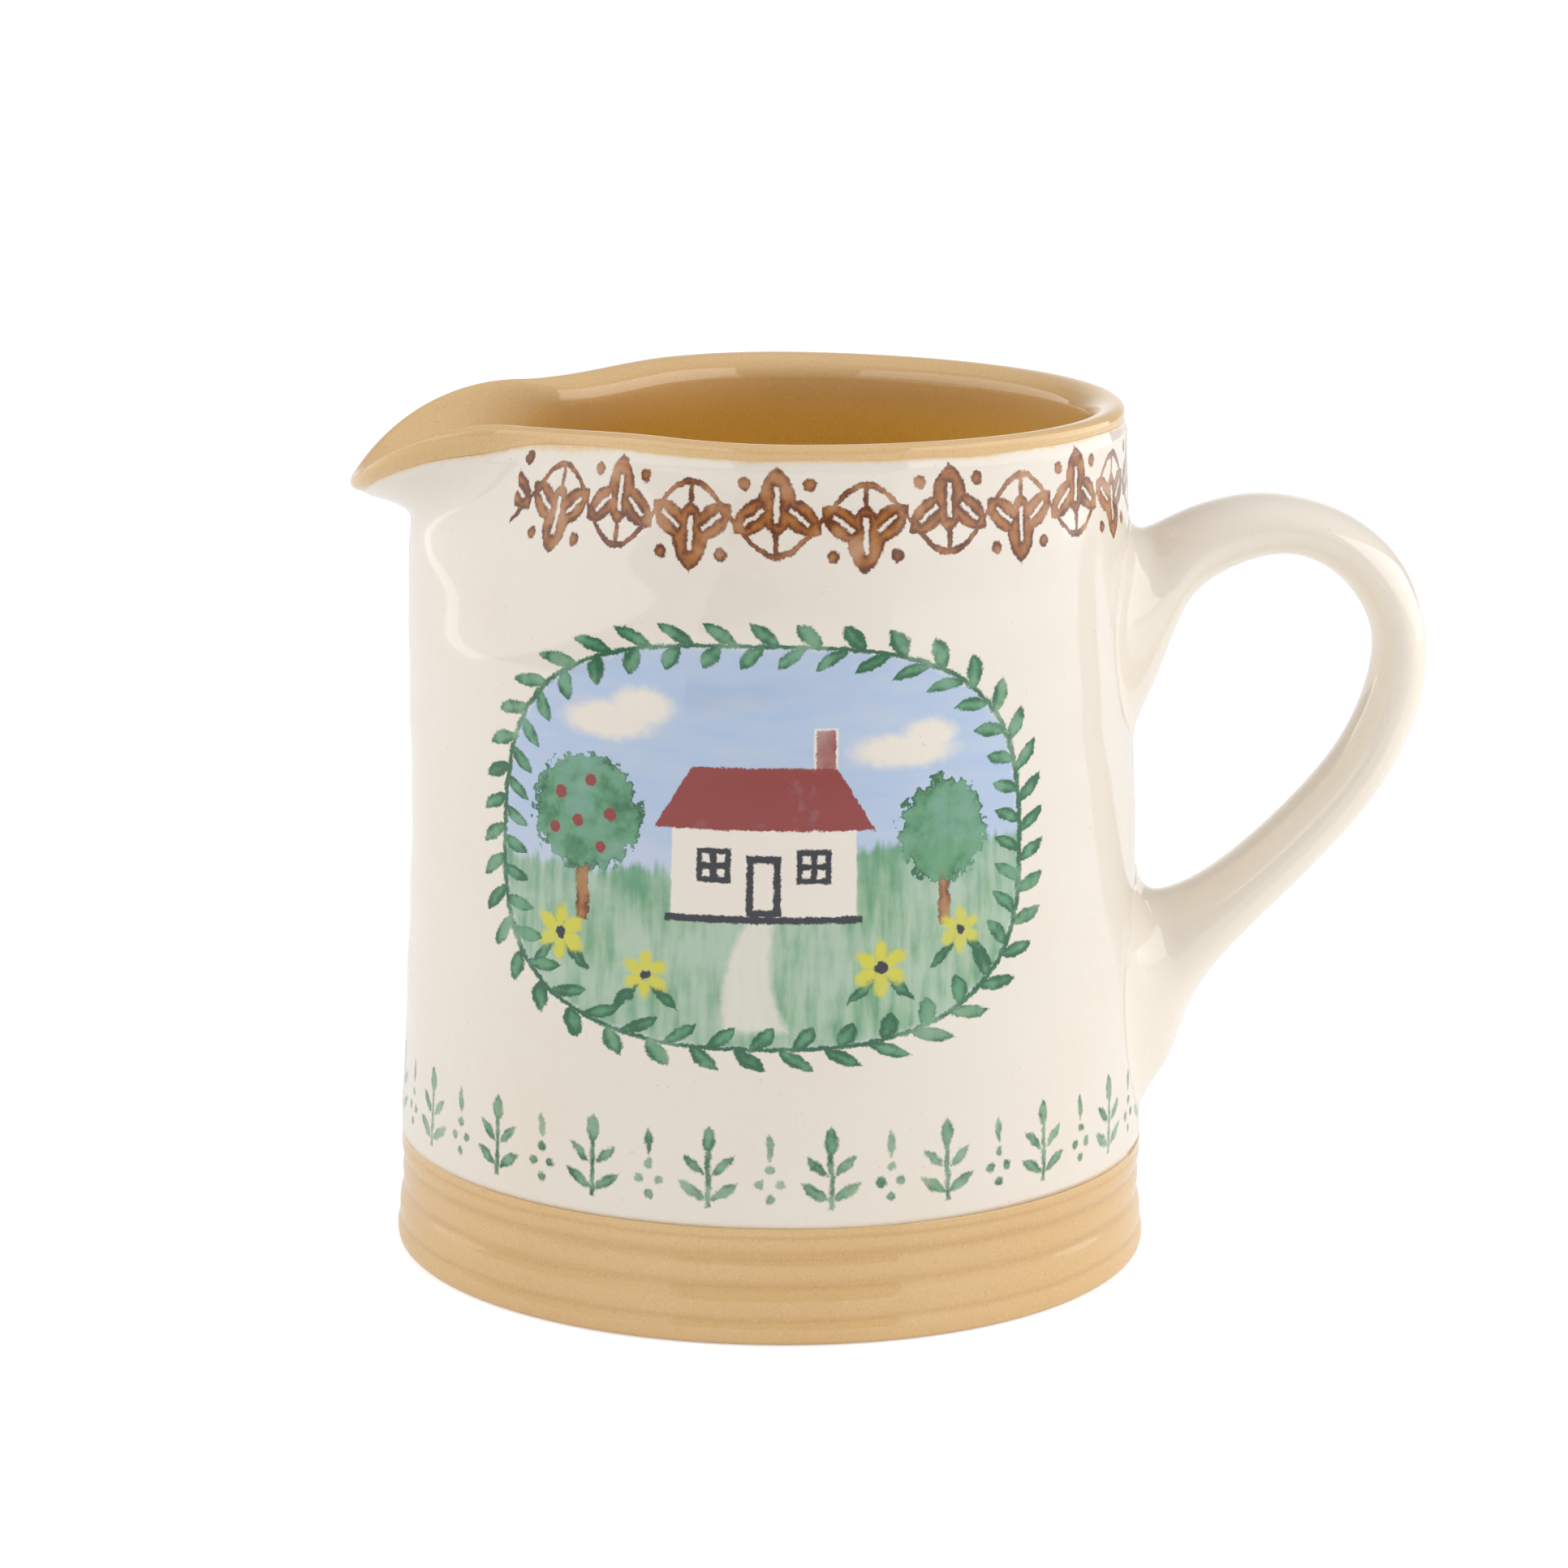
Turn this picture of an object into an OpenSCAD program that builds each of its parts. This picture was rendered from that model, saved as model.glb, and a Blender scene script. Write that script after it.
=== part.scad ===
// Hand-thrown slipware jug: a reeded foot, a near-straight wall with a pinched
// rim and a pulled pouring lip, and a strap handle luted on opposite the lip.
// The origin is the middle of the foot on the table. The handle points along +X
// and the lip along -X.

/* [Foot] */
// Largest radius of the foot
foot_radius = 56.5; // [50:0.1:64]
// Height of the bare clay band above the table
band_height = 17.2; // [13:0.1:22]
// Depth of the grooves that divide the band into ridges
groove_depth = 1.2; // [0.4:0.1:2]
// How far each ridge swells out between its grooves
ridge_swell = 0.4; // [0.1:0.05:0.8]
// Width of the flat ring that the jug stands on
foot_ring_width = 8; // [5:0.5:14]
// Depth of the shallow hollow inside the foot ring
recess_depth = 1.5; // [0.5:0.1:3]
// Thickness of the floor above that hollow
floor_thickness = 5.5; // [4:0.5:9]

/* [Wall] */
// Height of the rim above the table
rim_height = 127.7; // [115:0.1:145]
// How far the clay wall stands in from the foot just above the band
wall_step = 1.2; // [0.8:0.1:3]
// How far the wall draws in from there up to the rim
wall_draw = 4.5; // [2:0.1:8]
// Thickness of the wall
wall_thickness = 4.6; // [3.6:0.1:6]
// Thickness of the rounded rim
rim_thickness = 5.4; // [4:0.1:7]
// Radius of the small round along the outer edge of the rim and the lip
rim_edge = 1.3; // [0.8:0.1:1.6]
// Height of the long round by which the rim turns over to the inside
rim_round_height = 7.2; // [4:0.1:10]
// Radius of the round between the floor and the wall inside
floor_round = 12; // [6:0.5:18]

/* [Spout] */
// How far the lip is pulled out past the circle of the rim
spout_reach = 11.8; // [8:0.1:15]
// How far the tip of the lip drops below the rim
spout_drop = 11.8; // [8:0.1:18]
// Half the angle that the spout takes up, seen from above
spout_half_angle = 29; // [24:0.5:32]
// Thickness of the lip at its tip
lip_thickness = 2.6; // [2:0.1:3.6]
// Height over which the throat turns out into the lip
neck_rise = 7.6; // [6:0.1:12]
// How far the wall swells out in the throat under the lip
throat_swell = 2.3; // [0.5:0.1:4]
// Distance from the rim down to the foot of the throat
throat_drop = 72; // [50:0.5:80]
// How far the rim is pinched in at each side of the lip
pinch_depth = 6.9; // [2:0.1:8]
// Distance from the rim down to where the pinch fades out
pinch_drop = 36; // [24:0.5:44]
// Angle from the lip to the deepest point of the pinch
pinch_angle = 47; // [38:0.5:52]
// Angle over which the pinch fades out to each side
pinch_spread = 46.5; // [42:0.5:56]
// How far the rim dips where it runs into the lip
dip_depth = 1.1; // [0:0.1:2]
// Angle from the lip to the deepest point of that dip
dip_angle = 36; // [34:0.5:42]
// Angle over which the dip fades out to each side
dip_spread = 35; // [28:0.5:40]

/* [Handle] */
// How far the handle stands out from the wall under the rim
handle_reach = 46.2; // [38:0.1:54]
// Height of the whole handle, from its lower root to the top of its arch
handle_rise = 94.5; // [84:0.1:100]
// Height of the lower end of the handle's root above the table
handle_foot = 19.5; // [18:0.1:24]
// Width of the strap at the grip
strap_width = 16.5; // [12:0.1:22]

/* [Slip] */
// Thickness of the pale slip coat on the wall and the handle
slip_thickness = 0.5; // [0.3:0.05:0.8]
// Thickness of the luting slip between the handle and the wall
luting_thickness = 0.5; // [0.3:0.05:0.8]

/* [Hidden] */
// Heights of the grooves as shares of the band, from the table up
groove_height_shares = [0, 0.227, 0.512, 0.762, 0.919, 1];
// Depths of the same grooves as shares of the groove depth
groove_depth_shares = [0, 0.1, 0.62, 0.72, 0.36, 0.3];
// How much of the full swelling each ridge has
swell_shares = [1, 0.9, 0.8, 0.9, 0.3];
// How fast the wall draws in on its way up
wall_curve_share = 1.2;
// How fast the lip drops towards its tip
drop_curve_share = 5.1;
// How squarely the lip is pulled out of the rim, seen from above
spout_square_share = 5.6;
// How fast the throat turns out into the lip
neck_curve_share = 4.5;
// Even spacing of the rows along the lip
lip_row_share = 0.6;
// Where the lip starts to drop, out from the middle, as a share of the rim's radius
drop_start_share = 0.3;
// How much of the spout's angle the throat takes up
throat_angle_share = 1.6;
// How much closer the sections of the wall stand at the lip
middle_step_share = 0.5;
// Distance under the rim over which the wall stands straight, as a share of its thickness
straight_share = 1;
// How far the rows of the wall crowd up towards the neck
wall_row_share = 0.8;
// Slope of the step up into the hollow under the floor
recess_slope_share = 1;

// Outline of the handle from the upper root to the lower one. Each row holds the
// outer edge, out and up, then the inner edge, out and up, as shares of the
// handle's reach and rise, and then the width as a share of the strap's width.
handle_shares = [
    [-0.044, 0.931, -0.044, 0.608, 1.60],
    [0.077, 0.940, 0.080, 0.657, 1.50],
    [0.165, 0.962, 0.162, 0.764, 1.30],
    [0.296, 0.987, 0.244, 0.853, 1.12],
    [0.482, 1.000, 0.478, 0.907, 1.00],
    [0.735, 0.967, 0.658, 0.888, 0.97],
    [0.928, 0.878, 0.783, 0.822, 0.97],
    [1.000, 0.735, 0.820, 0.741, 0.97],
    [0.910, 0.575, 0.737, 0.613, 0.97],
    [0.702, 0.436, 0.548, 0.497, 1.00],
    [0.439, 0.304, 0.331, 0.399, 1.06],
    [0.272, 0.201, 0.171, 0.360, 1.16],
    [0.203, 0.095, 0.094, 0.366, 1.32],
    [0.112, 0.033, 0.044, 0.395, 1.46],
    [-0.011, 0, -0.033, 0.423, 1.50],
];

// Steps of a full turn of the revolved surfaces
turn_steps = 192;
// Sections of the wall from the middle of the lip round to the handle
side_steps = 32;
// Rows of the wall below the neck
wall_rows = 6;
// Rows from the neck to the lip
lip_rows = 9;
// Steps of each of the two rounds that meet at the crest of the rim
rim_steps = 3;
// Steps of a ridge of the foot
ridge_steps = 6;
// Steps of the round inside, between floor and wall
round_steps = 8;
// Sides of the handle's oval section
strap_sides = 18;
// Rings between two rows of the handle's outline
strap_steps = 3;
// Stretches of the outline that make up each root
root_spans = 3;

// Width of the fine step inside, where the wall stands on the foot
seam_step = 0.15;
// Full turn, half turn and quarter turn
full_turn = 360;
half_turn = 180;
quarter_turn = 90;

// Outer radius of the clay wall just above the band, and under the rim
wall_low_radius = foot_radius - wall_step;
wall_top_radius = wall_low_radius - wall_draw;
// Top of the floor inside
floor_top = recess_depth + floor_thickness;
// Height at which the wall stops drawing in
straight_height = rim_height - straight_share * wall_thickness;
// Height of the foot of the throat
throat_height = rim_height - throat_drop;
// Radius and height of the middle of the edge's round at the tip of the lip
tip_radius = wall_top_radius - rim_edge + spout_reach;
tip_height = rim_height - rim_edge - spout_drop;
// Height of the neck, where the throat starts to turn out
neck_height = tip_height - neck_rise;
// Where the lip starts to drop
drop_start = drop_start_share * wall_top_radius;

function lerp(a, b, t) = a + (b - a) * t;
function clamp(t) = max(0, min(1, t));
function ease(t) = clamp(t) * clamp(t) * (3 - 2 * clamp(t));
function reversed(list) = [for (i = [len(list) - 1:-1:0]) list[i]];
// A hump that is 1 in the middle and 0 from one width away
function hump(t) = abs(t) >= 1 ? 0 : pow(cos(quarter_turn * t), 2);

// Outer radius of the clay wall at a height
function wall_radius(z) =
    lerp(wall_low_radius, wall_top_radius,
        pow(clamp((z - band_height) / (straight_height - band_height)), wall_curve_share));

// How much of each move a point of the rim feels, by its angle from the lip
function spout_pull(angle) = exp(-pow(abs(angle) / spout_half_angle, spout_square_share));
function pinch_pull(angle) = hump((abs(angle) - pinch_angle) / pinch_spread);
function dip_pull(angle) = hump((abs(angle) - dip_angle) / dip_spread);
function throat_pull(angle) = hump(angle / (throat_angle_share * spout_half_angle));

// Radius and height of the middle of the edge's round, by the angle from the lip
function rim_radius_at(angle) =
    wall_top_radius - rim_edge
        - pinch_depth * pinch_pull(angle) + spout_reach * spout_pull(angle);
function rim_height_at(angle) =
    let (out = (rim_radius_at(angle) * cos(angle) - drop_start) / (tip_radius - drop_start))
    rim_height - rim_edge
        - spout_drop * pow(clamp(out), drop_curve_share) - dip_depth * dip_pull(angle);
// Full width of the rim from there inwards
function rim_inside_at(angle) = lerp(rim_thickness, lip_thickness, spout_pull(angle)) - rim_edge;
// Share of that width at a depth below the crest
function rounded(depth) =
    let (up = 1 - clamp(depth / rim_round_height))
    sqrt(1 - up * up);

// Heights of the rows of the wall, from the band to the rim
function row_heights(angle) = [
    for (i = [0:wall_rows])
        lerp(band_height, neck_height, pow(i / wall_rows, wall_row_share)),
    for (i = [1:lip_rows])
        lerp(neck_height, rim_height_at(angle), pow(i / lip_rows, lip_row_share)),
];

// How far the round over the floor stands in from the wall at a height
function round_in(z) =
    let (down = clamp((floor_top + floor_round - z) / floor_round))
    floor_round * (1 - sqrt(1 - down * down));

// Share of the way from the neck up to the rim
function lift(angle, z) = clamp((z - neck_height) / (rim_height_at(angle) - neck_height));
// How far the lip's turn has come at a height
function turn(angle, z) = spout_pull(angle) * pow(lift(angle, z), neck_curve_share);

// Thickness of the wall outwards and inwards from its line
function outward(angle, z) = lerp(wall_thickness / 2, rim_edge, ease(lift(angle, z)));
function inward(angle, z) =
    lerp(wall_thickness / 2 + round_in(z), rim_inside_at(angle), ease(lift(angle, z)))
        * rounded(rim_height_at(angle) + rim_edge - z);

// Radius of the wall's line at a height
function line_radius(angle, z) =
    wall_radius(z) - outward(angle, z)
        - pinch_depth * pinch_pull(angle) * ease((z - rim_height + pinch_drop) / pinch_drop)
        + throat_swell * throat_pull(angle)
            * ease((z - throat_height) / (neck_height - throat_height)) * (1 - turn(angle, z))
        + spout_reach * turn(angle, z);

// The wall's line at one angle, each point as radius and height. It runs in the
// middle of the wall below and ends inside the outer edge of the rim.
function wall_line(angle) = [for (z = row_heights(angle)) [line_radius(angle, z), z]];

function unit(v) = v / norm(v);
// Outward direction across a line at one of its points; level at its foot
function across(line, i) =
    i == 0 ? [1, 0] :
    let (
        last = len(line) - 1,
        along = line[min(i + 1, last)] - line[i - 1]
    )
    unit([along[1], -along[0]]);

// Outer face of the wall, grown by a coat, and its inner face
function outer_face(angle, grow = 0) =
    let (line = wall_line(angle))
    [for (i = [0:len(line) - 1])
        line[i] + (outward(angle, line[i][1]) + grow) * across(line, i)];
function inner_face(angle) =
    let (line = wall_line(angle))
    [for (i = [0:len(line) - 1])
        line[i] - (inward(angle, line[i][1]) - (i == 0 ? seam_step : 0)) * across(line, i)];

// Top of the rim from outside to inside: the edge's small round up to the crest,
// and then the upper end of the long round
function rim_round(angle) =
    let (
        line = wall_line(angle),
        end = line[len(line) - 1],
        out = across(line, len(line) - 1),
        up = [-out[1], out[0]]
    )
    [
        for (i = [1:rim_steps])
            let (arc = quarter_turn * i / rim_steps)
            end + rim_edge * (cos(arc) * out + sin(arc) * up),
        for (i = [rim_steps - 1:-1:1])
            let (
                rise = rim_edge * sin(quarter_turn * i / rim_steps),
                width = rim_inside_at(angle) * rounded(rim_edge - rise)
            )
            end - width * out + rise * up,
    ];

// Section of the shaped wall, and of the slip coat on it
function wall_section(angle) =
    concat(inner_face(angle), reversed(rim_round(angle)), reversed(outer_face(angle)));
function slip_section(angle) =
    concat(outer_face(angle), reversed(outer_face(angle, slip_thickness)));

// Angles of the sections, once round the wall from the handle
section_angles = [
    for (i = [-side_steps:side_steps - 1])
        let (share = i / side_steps)
        half_turn * share * lerp(middle_step_share, 1, abs(share))
];

// A section stood up at an angle from the lip
function stood(section, angle) =
    [for (p = section) [-p[0] * cos(angle), p[0] * sin(angle), p[1]]];

// Skin of triangles over loops of points that all have one length
module loft(loops, closed = false) {
    count = len(loops);
    size = len(loops[0]);
    spans = closed ? count : count - 1;
    sides = [
        for (i = [0:spans - 1], j = [0:size - 1])
            let (
                a = i * size + j,
                b = i * size + (j + 1) % size,
                c = ((i + 1) % count) * size + (j + 1) % size,
                d = ((i + 1) % count) * size + j
            )
            each [[a, b, c], [a, c, d]]
    ];
    ends = closed ? [] : [
        [for (j = [size - 1:-1:0]) j],
        [for (j = [0:size - 1]) (count - 1) * size + j],
    ];
    polyhedron([for (loop = loops) each loop], concat(sides, ends), convexity = 8);
}

// Ridges of the foot, from the table up; the widest one just reaches the foot's radius
ridge_points = [
    for (i = [0:len(swell_shares) - 1], k = [0:ridge_steps - 1])
        let (
            t = k / ridge_steps,
            depth = groove_depth * lerp(groove_depth_shares[i], groove_depth_shares[i + 1], t),
            swell = ridge_swell * (swell_shares[i] * sin(half_turn * t) - 1)
        )
        [
            foot_radius - depth + swell,
            band_height * lerp(groove_height_shares[i], groove_height_shares[i + 1], t),
        ],
    [wall_low_radius + slip_thickness, band_height],
];
// Inside of the foot, from the floor up to the top of the band
inside_points = [
    for (i = [0:round_steps])
        let (z = lerp(floor_top, band_height, 1 - cos(quarter_turn * i / round_steps)))
        [wall_radius(z) - wall_thickness - round_in(z), z]
];
// Hollow under the floor
recess_radius = foot_radius - ridge_swell - foot_ring_width;
recess_points = [
    [0, recess_depth],
    [recess_radius - recess_slope_share * recess_depth, recess_depth],
    [recess_radius, 0],
];

module foot() {
    rotate_extrude($fn = turn_steps)
        polygon(concat(
            recess_points,
            ridge_points,
            reversed(inside_points),
            [[0, floor_top]]
        ));
}

// Everything within the outer face of the clay wall, grown by a coat
module wall_core(grow) {
    rotate_extrude($fn = turn_steps)
        polygon(concat(
            [[0, 0], [wall_low_radius + grow, 0]],
            [for (z = row_heights(half_turn)) [wall_radius(z) + grow, z]],
            [[0, rim_height]]
        ));
}

// Rows of the handle's outline at their real size, as out, up, out, up, width
handle_rows = [
    for (s = handle_shares)
        [
            wall_top_radius + handle_reach * s[0],
            handle_foot + handle_rise * s[1],
            wall_top_radius + handle_reach * s[2],
            handle_foot + handle_rise * s[3],
            strap_width * s[4],
        ]
];

// Smooth curve through four rows, from the second to the third
function curve(a, b, c, d, t) =
    (2 * b + (c - a) * t + (2 * a - 5 * b + 4 * c - d) * t * t
        + (3 * b - a - 3 * c + d) * t * t * t) / 2;
handle_line = [
    for (i = [0:len(handle_rows) - 2], k = [0:strap_steps - 1])
        curve(
            handle_rows[max(i - 1, 0)],
            handle_rows[i],
            handle_rows[i + 1],
            handle_rows[min(i + 2, len(handle_rows) - 1)],
            k / strap_steps
        ),
    handle_rows[len(handle_rows) - 1],
];

// One oval ring of the handle, with the coat taken off its outline
function strap_ring(row, coat) =
    let (
        outer = [row[0], 0, row[1]],
        inner = [row[2], 0, row[3]],
        middle = (outer + inner) / 2,
        half = norm(outer - inner) / 2 - coat,
        half_width = row[4] / 2 - coat
    )
    [for (j = [0:strap_sides - 1])
        middle
            + half * cos(full_turn * j / strap_sides) * unit(outer - inner)
            + [0, half_width * sin(full_turn * j / strap_sides), 0]];

// The roots as the first and the last stretch of the handle's rows
root_rows = root_spans * strap_steps;
upper_root = [for (i = [0:root_rows]) handle_line[i]];
lower_root = [for (i = [len(handle_line) - 1 - root_rows:len(handle_line) - 1]) handle_line[i]];

module handle_form(rows, coat) {
    loft([for (row = rows) strap_ring(row, coat)]);
}

// Clay of the pot: foot, floor, wall, rim and lip in one thrown piece
module body() {
    color("burlywood") {
        foot();
        loft([for (a = section_angles) stood(wall_section(a), a)], closed = true);
    }
}

// Pale slip coat on the outside, from the band up to the round of the rim
module wall_slip() {
    color("antiquewhite")
        difference() {
            loft([for (a = section_angles) stood(slip_section(a), a)], closed = true);
            handle_form(upper_root, 0);
            handle_form(lower_root, 0);
        }
}

// Pulled strap with both roots, cut to the wall less the luting slip
module handle() {
    color("tan")
        difference() {
            handle_form(handle_line, slip_thickness);
            wall_core(luting_thickness);
        }
}

// Pale slip coat on the handle
module handle_slip() {
    color("antiquewhite")
        difference() {
            loft(
                [for (j = [0:strap_sides - 1]) concat(
                    [for (row = handle_line) strap_ring(row, slip_thickness)[j]],
                    reversed([for (row = handle_line) strap_ring(row, 0)[j]])
                )],
                closed = true
            );
            wall_core(0);
        }
}

// Layer of slip that one root of the handle is stuck on with
module luting(root) {
    color("peru")
        intersection() {
            handle_form(root, slip_thickness);
            difference() {
                wall_core(luting_thickness);
                wall_core(0);
            }
        }
}
module upper_luting() {
    luting(upper_root);
}
module lower_luting() {
    luting(lower_root);
}

body();
wall_slip();
handle();
handle_slip();
upper_luting();
lower_luting();
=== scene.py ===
"""Hand-thrown slipware jug: a reeded foot, a pinched rim, a pulled lip and a strap handle."""

import bpy
import numpy as np
from bpy.props import FloatProperty, FloatVectorProperty, IntProperty, PointerProperty
from bpy.types import Operator, Panel, PropertyGroup
from mathutils import Matrix, Vector


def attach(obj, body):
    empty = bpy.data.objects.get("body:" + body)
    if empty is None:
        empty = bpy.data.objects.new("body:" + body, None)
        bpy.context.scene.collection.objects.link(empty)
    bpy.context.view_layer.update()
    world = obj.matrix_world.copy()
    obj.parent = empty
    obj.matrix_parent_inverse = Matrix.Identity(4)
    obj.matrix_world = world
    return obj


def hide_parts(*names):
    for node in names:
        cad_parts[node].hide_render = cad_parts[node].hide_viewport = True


bl_info = {
    "name": "Slipware jug",
    "version": (1, 0, 0),
    "blender": (4, 5, 0),
    "location": "View3D > Sidebar > Jug",
    "description": "Makes a glazed slipware jug piece by piece, with its studio",
    "category": "Add Mesh",
}

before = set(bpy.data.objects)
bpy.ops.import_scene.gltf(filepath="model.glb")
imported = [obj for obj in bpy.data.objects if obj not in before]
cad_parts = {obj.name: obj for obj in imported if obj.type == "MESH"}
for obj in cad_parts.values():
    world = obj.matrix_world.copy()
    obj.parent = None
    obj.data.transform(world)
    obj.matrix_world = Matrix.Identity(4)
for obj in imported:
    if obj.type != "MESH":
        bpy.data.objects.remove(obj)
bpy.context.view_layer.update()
BODY = "root"
MM = 0.001
TINY = 1e-9
FLOOR_GAP = 0.02 * MM
FLOOR_ROUGHNESS = 0.8
SENSOR_WIDTH = 36.0
GLAZE_IOR = 1.66
SIDEWAYS = np.array([0.0, 1.0, 0.0])


def length(name, description, default):
    """A property that holds a length in metres."""
    return FloatProperty(
        name=name,
        description=description,
        default=default,
        min=0.0,
        unit="LENGTH",
        subtype="DISTANCE",
        precision=5,
    )


def share(name, description, default):
    """A property that holds a plain number."""
    return FloatProperty(name=name, description=description, default=default)


def degrees(name, description, default):
    """A property that holds an angle in degrees."""
    return FloatProperty(name=name, description=description, default=default, min=0.0)


def tint(name, description, default):
    """A property that holds a linear colour."""
    return FloatVectorProperty(
        name=name,
        description=description,
        default=default,
        size=3,
        min=0.0,
        max=1.0,
        subtype="COLOR",
    )


class JugPotSizes(PropertyGroup):
    """Sizes of the thrown pot and of the slip on its wall"""

    foot_radius: length("Foot radius", "Largest radius of the foot", 0.05642)
    band_height: length("Band height", "Height of the bare clay band", 0.0172)
    groove_depth: length("Groove depth", "Depth of the grooves in the band", 0.0012)
    ridge_swell: length("Ridge swell", "How far each ridge swells out", 0.0004)
    corner_round: length("Corner round", "Round of the foot's lower edge", 0.0009)
    ring_width: length("Foot ring width", "Flat ring that the jug stands on", 0.008)
    recess_depth: length("Hollow depth", "Hollow inside the foot ring", 0.0015)
    floor_thickness: length("Floor thickness", "Clay above that hollow", 0.0055)
    floor_round: length("Floor round", "Round between floor and wall", 0.012)
    rim_height: length("Rim height", "Height of the rim", 0.12758)
    wall_step: length("Wall step", "How far the wall stands in from the foot", 0.0012)
    wall_draw: length("Wall draw", "How far the wall draws in up to the rim", 0.0045)
    wall_thickness: length("Wall thickness", "Thickness of the wall", 0.0046)
    rim_thickness: length("Rim thickness", "Thickness of the rounded rim", 0.0054)
    rim_edge: length("Rim edge", "Small round along the rim's outer edge", 0.0013)
    rim_inside: length("Inner round", "Height of the rim's long round inside", 0.0039)
    slip_thickness: length("Slip thickness", "Thickness of the pale slip", 0.0005)
    slip_below_rim: length("Slip edge", "How far the slip ends below the rim's edge", 0.0005)
    slip_below_lip: length("Slip edge at lip", "How much lower it ends beside the lip", 0.0013)
    slip_waver: length("Slip waver", "How much the edge of the slip wavers", 0.00025)
    slip_feather: length("Slip feather", "Width over which its edge thins out", 0.0020)
    slip_wash: length("Slip wash", "Width over which the clay shows through", 0.00045)
    hand_ripple: length("Hand ripple", "Waviness left by the thrower's hands", 0.00009)
    sections: IntProperty(
        name="Sections", description="Sections of the pot's meshes", default=320, min=48
    )


class JugLipSizes(PropertyGroup):
    """Sizes of the pulled lip and of the pinch and dip beside it"""

    spout_reach: length("Spout reach", "How far the lip is pulled out", 0.0118)
    spout_drop: length("Spout drop", "How far its tip drops below the rim", 0.0118)
    spout_half_angle: degrees("Spout half angle", "Half the spout's angle", 29.0)
    lip_thickness: length("Lip thickness", "Thickness of the lip's tip", 0.0026)
    neck_rise: length("Neck rise", "Height over which the throat turns out", 0.0076)
    throat_swell: length("Throat swell", "How far the throat swells out", 0.0023)
    throat_drop: length("Throat drop", "From the rim to the throat's foot", 0.072)
    pinch_depth: length("Pinch depth", "How far the rim is pinched in", 0.0069)
    pinch_drop: length("Pinch drop", "From the rim to where the pinch ends", 0.036)
    pinch_angle: degrees("Pinch angle", "From the lip to the pinch", 47.0)
    pinch_spread: degrees("Pinch spread", "Angle over which it fades", 46.5)
    dip_depth: length("Dip depth", "How far the rim dips beside the lip", 0.0011)
    dip_angle: degrees("Dip angle", "From the lip to that dip", 36.0)
    dip_spread: degrees("Dip spread", "Angle over which it fades", 35.0)


class JugHandleSizes(PropertyGroup):
    """Sizes of the strap handle"""

    reach: length("Reach", "How far the handle stands out", 0.0462)
    rise: length("Rise", "Height of the whole handle", 0.0945)
    foot: length("Foot", "Height of its lower end", 0.0195)
    strap_width: length("Strap width", "Width of the strap at the grip", 0.0165)
    blend_ends: length("Blend at the ends", "Fillet above and below the roots", 0.0026)
    blend_sides: length("Blend at the sides", "Fillet beside the roots", 0.0068)
    root_sink: length("Root sink", "How far the skin's ends run into the wall", 0.0015)
    spine_height: length("Spine height", "Fine ridge along the strap", 0.00016)
    spine_width: length("Spine width", "Half the width of that ridge", 0.0005)


class JugColours(PropertyGroup):
    """Colours of the clay, the slip, the glaze and the painted work"""

    clay: tint("Clay", "Tan clay under the clear glaze", (0.755, 0.505, 0.232))
    clay_pool: tint("Pooled glaze", "Where glaze lies thick", (0.560, 0.300, 0.095))
    clay_light: tint("Thin glaze", "Where glaze lies thin", (0.880, 0.690, 0.430))
    # Inside the pot: thick glaze, and painted shade that deepens below the rim.
    inside_glaze_and_shade: tint("Inside", "Thick glaze inside the pot", (0.800, 0.455, 0.056))
    clay_speck: tint("Specks", "Dark specks in the clay", (0.300, 0.130, 0.040))
    # Unglazed clay on the foot ring, and the same darker colour as a painted contact shadow along
    # the foot's lower edge.
    bare_clay_and_contact_shade: tint("Bare clay", "Wiped ring under the foot", (0.580, 0.380, 0.220))
    slip: tint("Slip", "Pale slip under the clear glaze", (0.830, 0.760, 0.668))
    # A lighter, warmer copy of the wall's slip: painted light that offsets the shade the handle gets
    # beside the body.
    slip_lit_for_handle: tint("Handle slip", "Thicker slip on the handle", (0.880, 0.800, 0.690))
    slip_warm: tint("Warm slip", "Where the slip lies thin", (0.770, 0.670, 0.515))
    slip_speck: tint("Slip specks", "Faint specks in the slip", (0.480, 0.360, 0.240))
    brown: tint("Brown", "Brown of the rim border", (0.420, 0.152, 0.026))
    brown_deep: tint("Deep brown", "Where the brown pools", (0.140, 0.031, 0.004))
    green: tint("Green", "Green of the leaves", (0.100, 0.310, 0.150))
    green_deep: tint("Deep green", "Where the green pools", (0.012, 0.118, 0.048))
    meadow: tint("Meadow", "Pale washed green", (0.390, 0.540, 0.360))
    sky: tint("Sky", "Pale washed blue", (0.420, 0.540, 0.740))
    roof: tint("Roof", "Dark red", (0.270, 0.030, 0.025))
    ink: tint("Ink", "Nearly black brushwork", (0.016, 0.019, 0.028))
    yellow: tint("Yellow", "Greenish yellow", (0.640, 0.600, 0.050))
    luting: tint("Luting", "Fired joining slip", (0.420, 0.230, 0.100))


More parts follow.
